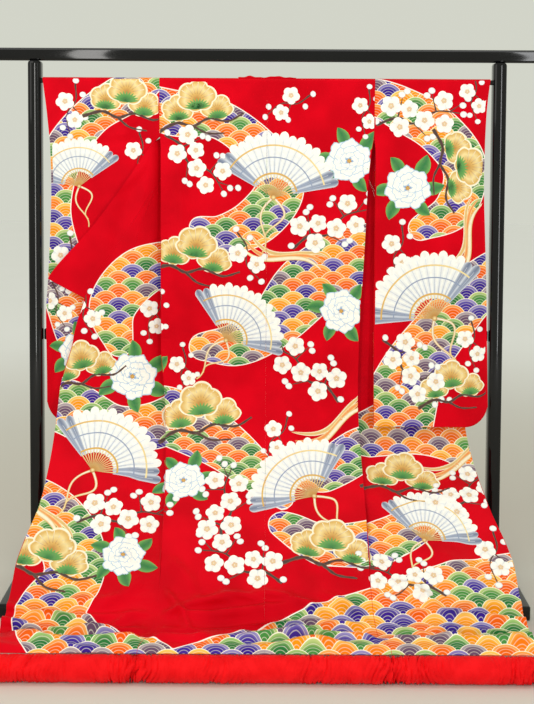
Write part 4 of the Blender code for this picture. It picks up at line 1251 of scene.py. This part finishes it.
def pine():
    # three gold lobed crowns, needle fans below them and a dark crooked trunk
    made = []
    angles = evenAngles(54)
    gold = (0.06, 0.35, 0.62, 0.88, 0.94, 1.0), ("ochre", "gold", "paleGold", "gold", "cream", "cream")
    needle = 0.0042 * np.sin(np.linspace(0.25, 1, 6) * math.pi) + 0.0006
    crowns = ((-0.062, -0.004, 0.056, 0), (0.06, 0.004, 0.054, 1.3), (0.0, -0.036, 0.066, 2.4))
    for at, (u, v, size, phase) in enumerate(crowns):
        lobes = size * (0.84 + 0.16 * np.abs(np.sin(3 * angles + phase)) ** 0.7)
        lobes = lobes * np.where(np.sin(angles) > 0, 1 - 0.42 * np.sin(angles), 1.0)
        made.append(disc((u, v), lobes, *gold, (0.06, 0.3, 0.6, 0.88, 0.94, 1.0), 1.0 + at))
        for turn in np.linspace(-74, 74, 8):
            step = size * towards(turn)
            made.append(ray((u, v), step, np.linspace(0.28, 0.84, 6), 0.0009, "ochre", "cream", 1.5 + at))
        for turn in np.linspace(-80, 80, 11):
            step = 0.62 * size * towards(turn) * (1, 0.75)
            start = (u, v + 0.4 * size)
            made.append(ray(start, step, np.linspace(0, 1, 6), needle, "green", "leaf", 4.0 + at))
    trunk = [(-0.13, 0.052), (-0.07, 0.03), (-0.02, 0.044), (0.03, 0.026), (0.09, 0.04), (0.14, 0.02)]
    made += branch(trunk, 0.0052, 0.0026, 5.0)
    made += branch([(-0.02, 0.044), (0.02, 0.07), (0.075, 0.076)], 0.0038, 0.0018, 5.2)
    return made


def peony():
    # rings of wavy petals, white with a pale blue rim and strokes towards the heart, leaves round them
    leaves = ((200, 0.075), (250, 0.07), (20, 0.08), (75, 0.075), (130, 0.07), (320, 0.07))
    made = [leafAt(towards(turn) * 0.035, turn, length) for turn, length in leaves]
    angles = evenAngles(28)
    tones = ("white", "white", "white", "sky", "sky")
    petal = (0.1, 0.55, 0.86, 0.93, 1.0), tones, (0.1, 0.5, 0.86, 0.93, 1.0)
    stroke = 0.0016 * np.sin(np.linspace(0.15, 1, 6) * math.pi)
    for ring, (count, stand, size) in enumerate(((7, 0.04, 0.03), (6, 0.025, 0.024), (5, 0.012, 0.016))):
        for at in range(count):
            turn = 2 * math.pi * (at + 0.37 * ring) / count
            wavy = size * (1 + 0.09 * np.sin(5 * angles + at * 2.1 + ring) + 0.05 * np.sin(9 * angles + at))
            level = 2.0 + 1.1 * ring + 0.14 * at
            shade = 0.75 * rise(-np.cos(angles - turn), 0.1, 0.8)
            centre = stand * np.array([math.cos(turn), 0.88 * math.sin(turn)])
            made.append(disc(centre, wavy, *petal, level, shade))
            for lean in (-0.28, 0.0, 0.28):
                step = stand * np.array([math.cos(turn + lean), 0.88 * math.sin(turn + lean)])
                shares = np.linspace(0.55, 1.35 - abs(lean), 6)
                made.append(ray((0, 0), step, shares, stroke, "blue", "sky", level + 0.5))
    heart = 0.0065 * (1 + 0.2 * np.cos(6 * angles))
    made.append(disc((0, 0), heart, (0.2, 1.0), ("gold", "ochre"), (0.2, 1.0), 7.0))
    return made


courtFan = {"size": 0.19, "opening": 66.0, "slats": 17}


def fan():
    # thin slats, each widening from the pivot to a rounded tip; three bands, a pivot disc and two cords
    made = []
    size, opening, slats = courtFan["size"], courtFan["opening"], courtFan["slats"]
    gap = 2 * opening / (slats - 1)
    widen = math.tan(math.radians(gap) / 2) * 1.02
    for at in range(slats):
        tip = towards(-opening + gap * at)
        reach = size * (1.0 - 0.035 * (at % 2))
        along = np.concatenate([np.linspace(0.3, 0.93, 13) * reach, reach * np.array([0.965, 0.988, 1.0])])
        half = np.minimum(along * widen, np.sqrt(np.maximum((reach - along) * reach * 0.09, 0)))
        guard = at < 2 or at > slats - 3
        tones = ("greyBlue", "slate", "pearl") if guard else ("pearl", "white", "white")
        made.append(strip(along[:, None] * tip, half, *tones, 5.0 + 0.6 * (at % 2)))
        made.append(ray((0, 0), size * tip, np.linspace(0.02, 0.34, 6), 0.0013, "ochre", "paleGold", 6.4))
        made.append(ray((0, 0), size * tip, np.linspace(0.36, 0.88, 9), 0.0006, "greyBlue", "pearl", 6.6))
    turns = np.radians(np.linspace(-opening, opening, 40))
    for reach, half, first, last in (
        (0.36, 0.0026, "gold", "gold"), (0.6, 0.0016, "greyBlue", "greyBlue"),
        (0.78, 0.0022, "gold", "paleGold"),
    ):
        arc = np.stack([np.sin(turns), -np.cos(turns)], axis=1) * reach * size
        made.append(strip(arc, half, first, last, None, 7.4, 3))
    made.append(disc((0, 0), np.full(16, 0.0075), (0.2, 1.0), ("paleGold", "ochre"), (0.2, 1.0), 8.0))
    fall = np.linspace(0, 1, 20)
    for lean, length in ((0.03, 0.13), (-0.02, 0.16)):
        path = np.stack([lean * np.sin(fall * 5.2) + lean * fall, fall * length], axis=1)
        made.append(strip(path, 0.0036 * (1 - 0.4 * fall), "white", "paleGold", "gold", 1.2, 3))
    return made


def ribbon():
    # three flowing bands with pale or gold edges
    made = []
    share = np.linspace(0, 1, 26)
    half = 0.0075 * np.sin(share * math.pi) ** 0.5
    for lean, tone, edge in ((0.0, "gold", "cream"), (0.018, "orange", "paleGold"), (0.034, "cream", "gold")):
        path = np.stack([(share - 0.5) * 0.26, lean + 0.03 * np.sin(share * 5.0 + lean * 20)], axis=1)
        made.append(strip(path, half, tone, tone, edge, 0.8 + 20 * lean, 4))
    return made


motifs = {"fan": fan, "pine": pine, "peony": peony, "spray": spray, "twig": twig, "ribbon": ribbon}
# kind, u, v, degrees turned clockwise, scale; a scale below 0 is the mirror image
layout = {
    "body": (
        ("fan", 0.02, 0.36, 10, 1.05), ("spray", -0.205, 0.25, 60, 0.95), ("pine", -0.205, 0.105, -6, 0.95),
        ("peony", 0.245, 0.25, 20, 1.0), ("spray", 0.185, 0.44, -12, 1.0), ("twig", 0.06, 0.08, 70, 0.9),
        ("twig", 0.29, 0.105, 10, 0.85), ("pine", -0.215, 0.545, 8, 1.0), ("fan", -0.12, 0.79, 36, 0.92),
        ("twig", -0.06, 0.54, -20, 1.0), ("spray", 0.13, 0.88, 24, -1.0), ("peony", 0.225, 0.7, 75, 0.95),
        ("ribbon", 0.06, 0.515, 24, 0.95), ("pine", -0.19, 1.02, -8, 1.05), ("ribbon", 0.2, 1.02, -20, 1.0),
        ("fan", 0.14, 1.27, -38, 1.0), ("spray", -0.12, 1.3, -70, 1.0), ("peony", -0.235, 1.22, 0, 0.9),
        ("pine", 0.18, 1.44, 6, 1.0), ("twig", 0.03, 1.08, 30, 0.9), ("spray", -0.06, 1.472, 8, -0.95),
        ("fan", -0.5, 1.19, 30, 1.05), ("peony", -0.4, 0.9, 40, 1.05), ("pine", -0.545, 0.88, -14, 0.9),
        ("spray", -0.4, 1.32, 10, 1.0), ("pine", -0.59, 1.47, 10, 1.05), ("twig", -0.545, 0.7, -10, 1.0),
        ("twig", -0.34, 0.72, 20, 0.9), ("ribbon", -0.62, 1.3, 60, 1.0), ("peony", -0.385, 1.455, 90, 0.9),
        ("fan", 0.44, 1.4, 24, 0.84), ("spray", 0.56, 1.25, -30, 0.95), ("pine", 0.4, 1.2, 6, 0.95),
        ("twig", 0.62, 1.45, 10, 1.0), ("spray", 0.375, 1.515, 4, -0.9), ("ribbon", 0.56, 1.12, -14, 0.95),
        ("twig", -0.25, 0.88, 0, 0.85),
    ),
    "sleeve": (
        ("spray", 0.45, 0.11, 8, 1.0), ("pine", 0.56, 0.27, 82, 0.95), ("peony", 0.42, 0.33, 10, 1.0),
        ("twig", 0.61, 0.06, 0, 0.85), ("fan", 0.505, 0.72, -26, 1.08), ("spray", 0.44, 0.87, 66, 0.95),
        ("twig", 0.39, 0.52, 10, 1.0), ("ribbon", 0.58, 0.47, -62, 0.9), ("pine", 0.56, 0.93, -8, 0.85),
        ("twig", 0.615, 0.8, 0, 0.9), ("pine", -0.42, 0.085, 6, 0.95), ("fan", -0.56, 0.33, -14, 0.78),
        ("twig", -0.585, 0.1, 12, 0.95), ("twig", -0.6, 0.56, 8, 1.0), ("twig", -0.63, 0.69, -12, 0.9),
        ("peony", -0.56, 0.83, 30, 0.9), ("spray", -0.47, 0.94, 10, 0.9), ("twig", -0.38, 0.24, 0, 0.9),
        ("fan", 0.48, -0.34, 200, 1.0), ("pine", 0.46, -0.56, 180, 1.0), ("spray", 0.52, -0.76, 150, 1.0),
        ("peony", 0.42, -0.9, 10, 1.0), ("spray", 0.47, -0.11, 190, 0.9), ("pine", -0.48, -0.17, 170, 1.0),
        ("spray", -0.5, -0.34, 120, 1.0), ("fan", -0.5, -0.64, 165, 1.0), ("peony", -0.42, -0.83, 0, 1.0),
        ("spray", -0.56, -0.88, 40, 0.9),
    ),
}


def layMotifs(rows):
    # turns each motif's pads to their place; motifs are lifted a little apart where they cross
    pads = []
    for at, (kind, u, v, turn, scale) in enumerate(rows):
        spin = math.radians(turn)
        matrix = np.array([[math.cos(spin), -math.sin(spin)], [math.sin(spin), math.cos(spin)]])
        flip = np.array([math.copysign(1, scale), 1.0]) * abs(scale)
        for pad in motifs[kind]():
            points = (pad["points"] * flip) @ matrix.T + np.array([u, v])
            pads.append({**pad, "points": points, "level": pad["level"] + 0.31 * (at % 3)})
    return pads


def padFaces(pad, keep):
    # quads of the cells that keep touches; a pad that goes round its centre is closed there by a ladder
    index = numberGrid(*pad["points"].shape[:2], pad["closed"])
    if pad["closed"]:
        keep = np.vstack([keep, keep[:1]])
    near = keep[:-1, :-1] | keep[1:, :-1] | keep[1:, 1:] | keep[:-1, 1:]
    quads = cellsOf(index)[near]
    if pad["closed"] and near[:, 0].all():
        quads = np.concatenate([quads, ladderOf(index[:-1, 0])])
    return quads


def drawBack(value, low, high):
    # what passes a limit keeps only a small share of the way past it
    nearest = np.clip(value, low, high)
    return nearest + thread["overshoot"] * (value - nearest)


def makeMotifs(name, side, pads, limits, surface):
    # limits gives the panel's edges; each pad has a top on its level, an underside in the cloth and a rim
    faces, corners, tints, levels, total = [], [], [], [], 0
    for pad in pads:
        u, v = pad["points"][..., 0], pad["points"][..., 1]
        low, high, top, bottom = limits(side, v)
        inside = (u > low) & (u < high) & (v > top) & (v < bottom)
        if not inside.any():
            continue
        quads = padFaces(pad, inside)
        corner = np.stack([drawBack(u, low, high), drawBack(v, top, bottom)], axis=-1).reshape(-1, 2)
        first, second = corner[quads[:, 2]] - corner[quads[:, 0]], corner[quads[:, 3]] - corner[quads[:, 1]]
        if (first[:, 0] * second[:, 1] - first[:, 1] * second[:, 0]).sum() > 0:
            quads = quads[:, ::-1]
        faces.append(quads + total)
        corners.append(corner)
        tints.append(pad["tint"].reshape(-1, 3))
        levels.append(np.full(len(corner), pad["level"]))
        total += len(corner)
    faces, uv, tints, levels = (np.concatenate(part) for part in (faces, corners, tints, levels))
    soft = thread["foldSoft"]
    folded = thread["foldLift"] * rise(np.abs(uv[:, 1]), crumple["start"] - soft, soft)
    top = surface(side, uv[:, 0], uv[:, 1], thread["lift"] + folded + thread["level"] * levels)
    low = surface(side, uv[:, 0], uv[:, 1], -thread["sink"])
    made = makeMesh(
        name, np.concatenate([top, low]), np.concatenate(closeShell(faces, total)), (silkThread,),
        uv=np.concatenate([uv, uv]), tints=np.concatenate([tints, tints]),
    )
    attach(made, "root")


def backSurface(side, u, v, height):
    # the way over the cloth, from the side seam, that ends at that u
    seam = sided(sideSeam, side, v)
    across = robe["shoulderHalf"] * (seam - side * u) / (seam - seams["gap"] / 2)
    return liftOff(bodyPoint, side, -v, across, backHeight(u, v) + height)[0]


def frontSurface(side, u, v, height):
    # the way over the cloth that ends at that u on the outer layer
    depthIn, start, turned, bend, rate = turnOf(v)
    reach = side * u - hingeAt(side, v, start) - depthIn * np.cos(start)
    reach = reach - (np.sin(start) - np.sin(start - turned)) / rate
    across = depthIn + bend + reach / np.cos(start - turned)
    return liftOff(frontPoint, side, v, across, frontHeight(side, across, u, v) + height)[0]


def sleeveSurface(side, u, v, height):
    # the place round the bag and the share of its width that end at that u and v
    down = np.abs(v)
    level = robe["rodHeight"] - np.maximum(down - rodQuarter, 0)
    innerEdge, outerEdge = sided(sleeveInner, side, level), sided(sleeveEdge, side, level)
    share = (side * u - innerEdge) / (outerEdge - innerEdge)
    bottom = bagBottom(share) + bag["seam"]
    ring = bag["foot"] + (level - bottom) / (robe["rodHeight"] - bottom) * (bag["top"] - bag["foot"])
    over = bag["top"] + (1 - down / rodQuarter) * (0.5 - bag["top"])
    ring = np.where(down < rodQuarter, over, ring)
    around = np.where(v > 0, ring, 1 - ring)
    return sleevePoint(side, around, share) + pushOut(around, sleeveHeight(around, share, u, v) + height)


# how far the embroidery stays from the panels' edges, and where it starts on the two fronts
margins = {
    "middle": 0.0005, "side": 0.0012, "shoulder": 0.002, "hem": 0.004, "front": 0.001, "collar": 0.002,
    "leftTop": 0.58, "rightTop": 1.08, "sleeve": 0.003, "cuff": 0.006, "sleeveTop": 0.01,
}


def mirrored(side, inner, outer):
    # the two limits in u, lower one first
    return (inner, outer) if side > 0 else (-outer, -inner)


def backLimits(side, v):
    # from the middle seam to the side seam
    edges = mirrored(side, margins["middle"] + 0 * v, sided(sideSeam, side, v) - margins["side"])
    return *edges, rodQuarter + margins["shoulder"], hemDown - margins["hem"]


def frontLimits(side, v):
    # from the side seam to the collar's seam, below the sleeve in front or below the armhole behind
    depthIn, start, turned, bend, rate = turnOf(v)
    seam, end = sided(sideSeam, side, v), start - turned
    edge = seam + robe["thick"] * np.sin(start) + depthIn * np.cos(start)
    edge = edge + (np.sin(start) - np.sin(end)) / rate
    edge = edge + (readTable(collarSeam, 1, v) - depthIn - bend) * np.cos(end) - margins["collar"]
    top = margins["leftTop"] if side < 0 else margins["rightTop"]
    return *mirrored(side, seam + margins["front"], edge), top, hemDown - margins["hem"]


def sleeveLimits(side, v):
    # from the inner edge to the cuff, with the rounded corner cut away
    level = robe["rodHeight"] - np.maximum(np.abs(v) - rodQuarter, 0)
    corner = robe["rodHeight"] - bag["bottom"] - bag["corner"] + rodQuarter
    past = np.clip(np.abs(v) - corner, 0, bag["corner"])
    rounded = bag["corner"] - np.sqrt(bag["corner"] ** 2 - past ** 2)
    outer = sided(sleeveEdge, side, level) - margins["cuff"] - rounded
    foot = robe["rodHeight"] + rodQuarter - bag["bottom"] - bag["seam"] - margins["hem"]
    edges = mirrored(side, sided(sleeveInner, side, level) + margins["sleeve"], outer)
    return *edges, margins["sleeveTop"], foot


def sleeveRearLimits(side, v):
    low, high, top, foot = sleeveLimits(side, v)
    return low, high, -foot, -top


bodyPads, sleevePads = layMotifs(layout["body"]), layMotifs(layout["sleeve"])
for side, word in ((-1, "Left"), (1, "Right")):
    makeMotifs("motifsBack" + word, side, bodyPads, backLimits, backSurface)
    makeMotifs("motifsFront" + word, side, bodyPads, frontLimits, frontSurface)
    makeMotifs("motifsSleeve" + word, side, sleevePads, sleeveLimits, sleeveSurface)
    makeMotifs("motifsSleeveRear" + word, side, sleevePads, sleeveRearLimits, sleeveSurface)
meshes = [piece.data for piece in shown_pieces() if piece.type == "MESH"]
print("motifs made:", sum(len(mesh.loops) - 2 * len(mesh.polygons) for mesh in meshes), "triangles in all")


# floor, light and camera

view = {
    "from": (0.0, -3.23, 1.345), "lens": 55.33, "tilt": -3.0, "roll": -0.3, "shiftY": -0.227,
    "floor": (212, 209, 200), "far": (255, 255, 255), "blend": (1.3, 4.5),
    "radii": (0.02, 0.5, 1.0, 1.5, 2.0, 3.0, 4.5, 7.0, 14.0),
    "room": (0.98, 1.0, 0.88), "roomStrength": 0.66,
}
# name, watts, place, aim, size, colour
lights = (
    ("keyLight", 18, (-2.4, -2.7, 2.6), (0.0, 0.0, 0.8), (1.3, 2.6), (1.0, 0.985, 0.95)),
    ("leftStrip", 23, (-1.05, -3.1, 1.5), (-0.7, 0.0, 1.0), (0.2, 3.0), (1.0, 0.985, 0.95)),
    ("rightStrip", 21, (1.6, -3.1, 1.5), (0.7, 0.0, 1.0), (0.18, 3.0), (0.97, 0.985, 1.0)),
    ("topLight", 20, (0.0, -1.0, 3.4), (0.0, -0.3, 0.0), (3.6, 0.8), (1.0, 1.0, 1.0)),
)


def dressStage(tree):
    # the floor's tone runs to the far tone by the distance from the middle, with faint clouds
    spot = addNode(tree, "TexCoord", output="Object")
    tone = mixColour(stepUp(arrow("LENGTH", spot, (), "Value"), *view["blend"]), view["floor"], view["far"])
    tone = mixColour(noise(spot, 2.2, 3.0) * 0.05, tone, (0.45, 0.42, 0.38, 1.0))
    return {"Base Color": tone, "Roughness": 0.75, "Specular IOR Level": 0.1}


def makeStage():
    # a round floor whose tone grows paler with distance, so that it meets the room without a line
    turns = evenAngles(64)[:, None]
    x, y = np.array(view["radii"]) * np.cos(turns), np.array(view["radii"]) * np.sin(turns)
    index = numberGrid(*x.shape, True)
    quads = np.concatenate([cellsOf(index).reshape(-1, 4), ladderOf(index[:-1, 0])])[:, ::-1]
    material = makeMaterial("paleStage", dressStage)
    makeMesh("paleStage", np.stack([x, y, 0 * x], axis=-1), quads, (material,))


def makeLight(name, energy, spot, aim, size, tone):
    lamp = bpy.data.lights.new(name, "AREA")
    lamp.energy, lamp.color = energy, tone
    lamp.shape = "RECTANGLE"
    lamp.size, lamp.size_y = size
    made = bpy.data.objects.new(name, lamp)
    bpy.context.scene.collection.objects.link(made)
    made.visible_camera = False
    made.location = spot
    made.rotation_euler = (Vector(aim) - Vector(spot)).to_track_quat("-Z", "Y").to_euler()


makeStage()
for row in lights:
    makeLight(*row)
world = bpy.data.worlds.new("softRoom")
world.use_nodes = True
world.node_tree.nodes["Background"].inputs[0].default_value = (*view["room"], 1.0)
world.node_tree.nodes["Background"].inputs[1].default_value = view["roomStrength"]
bpy.context.scene.world = world
bpy.context.scene.view_settings.view_transform = "Standard"

camera = bpy.data.objects.new("camera", bpy.data.cameras.new("camera"))
bpy.context.scene.collection.objects.link(camera)
camera.location = view["from"]
camera.rotation_euler = (math.radians(90 + view["tilt"]), math.radians(view["roll"]), 0.0)
camera.data.lens = view["lens"]
camera.data.sensor_width = 36.0
camera.data.shift_y = view["shiftY"]
bpy.context.scene.camera = camera
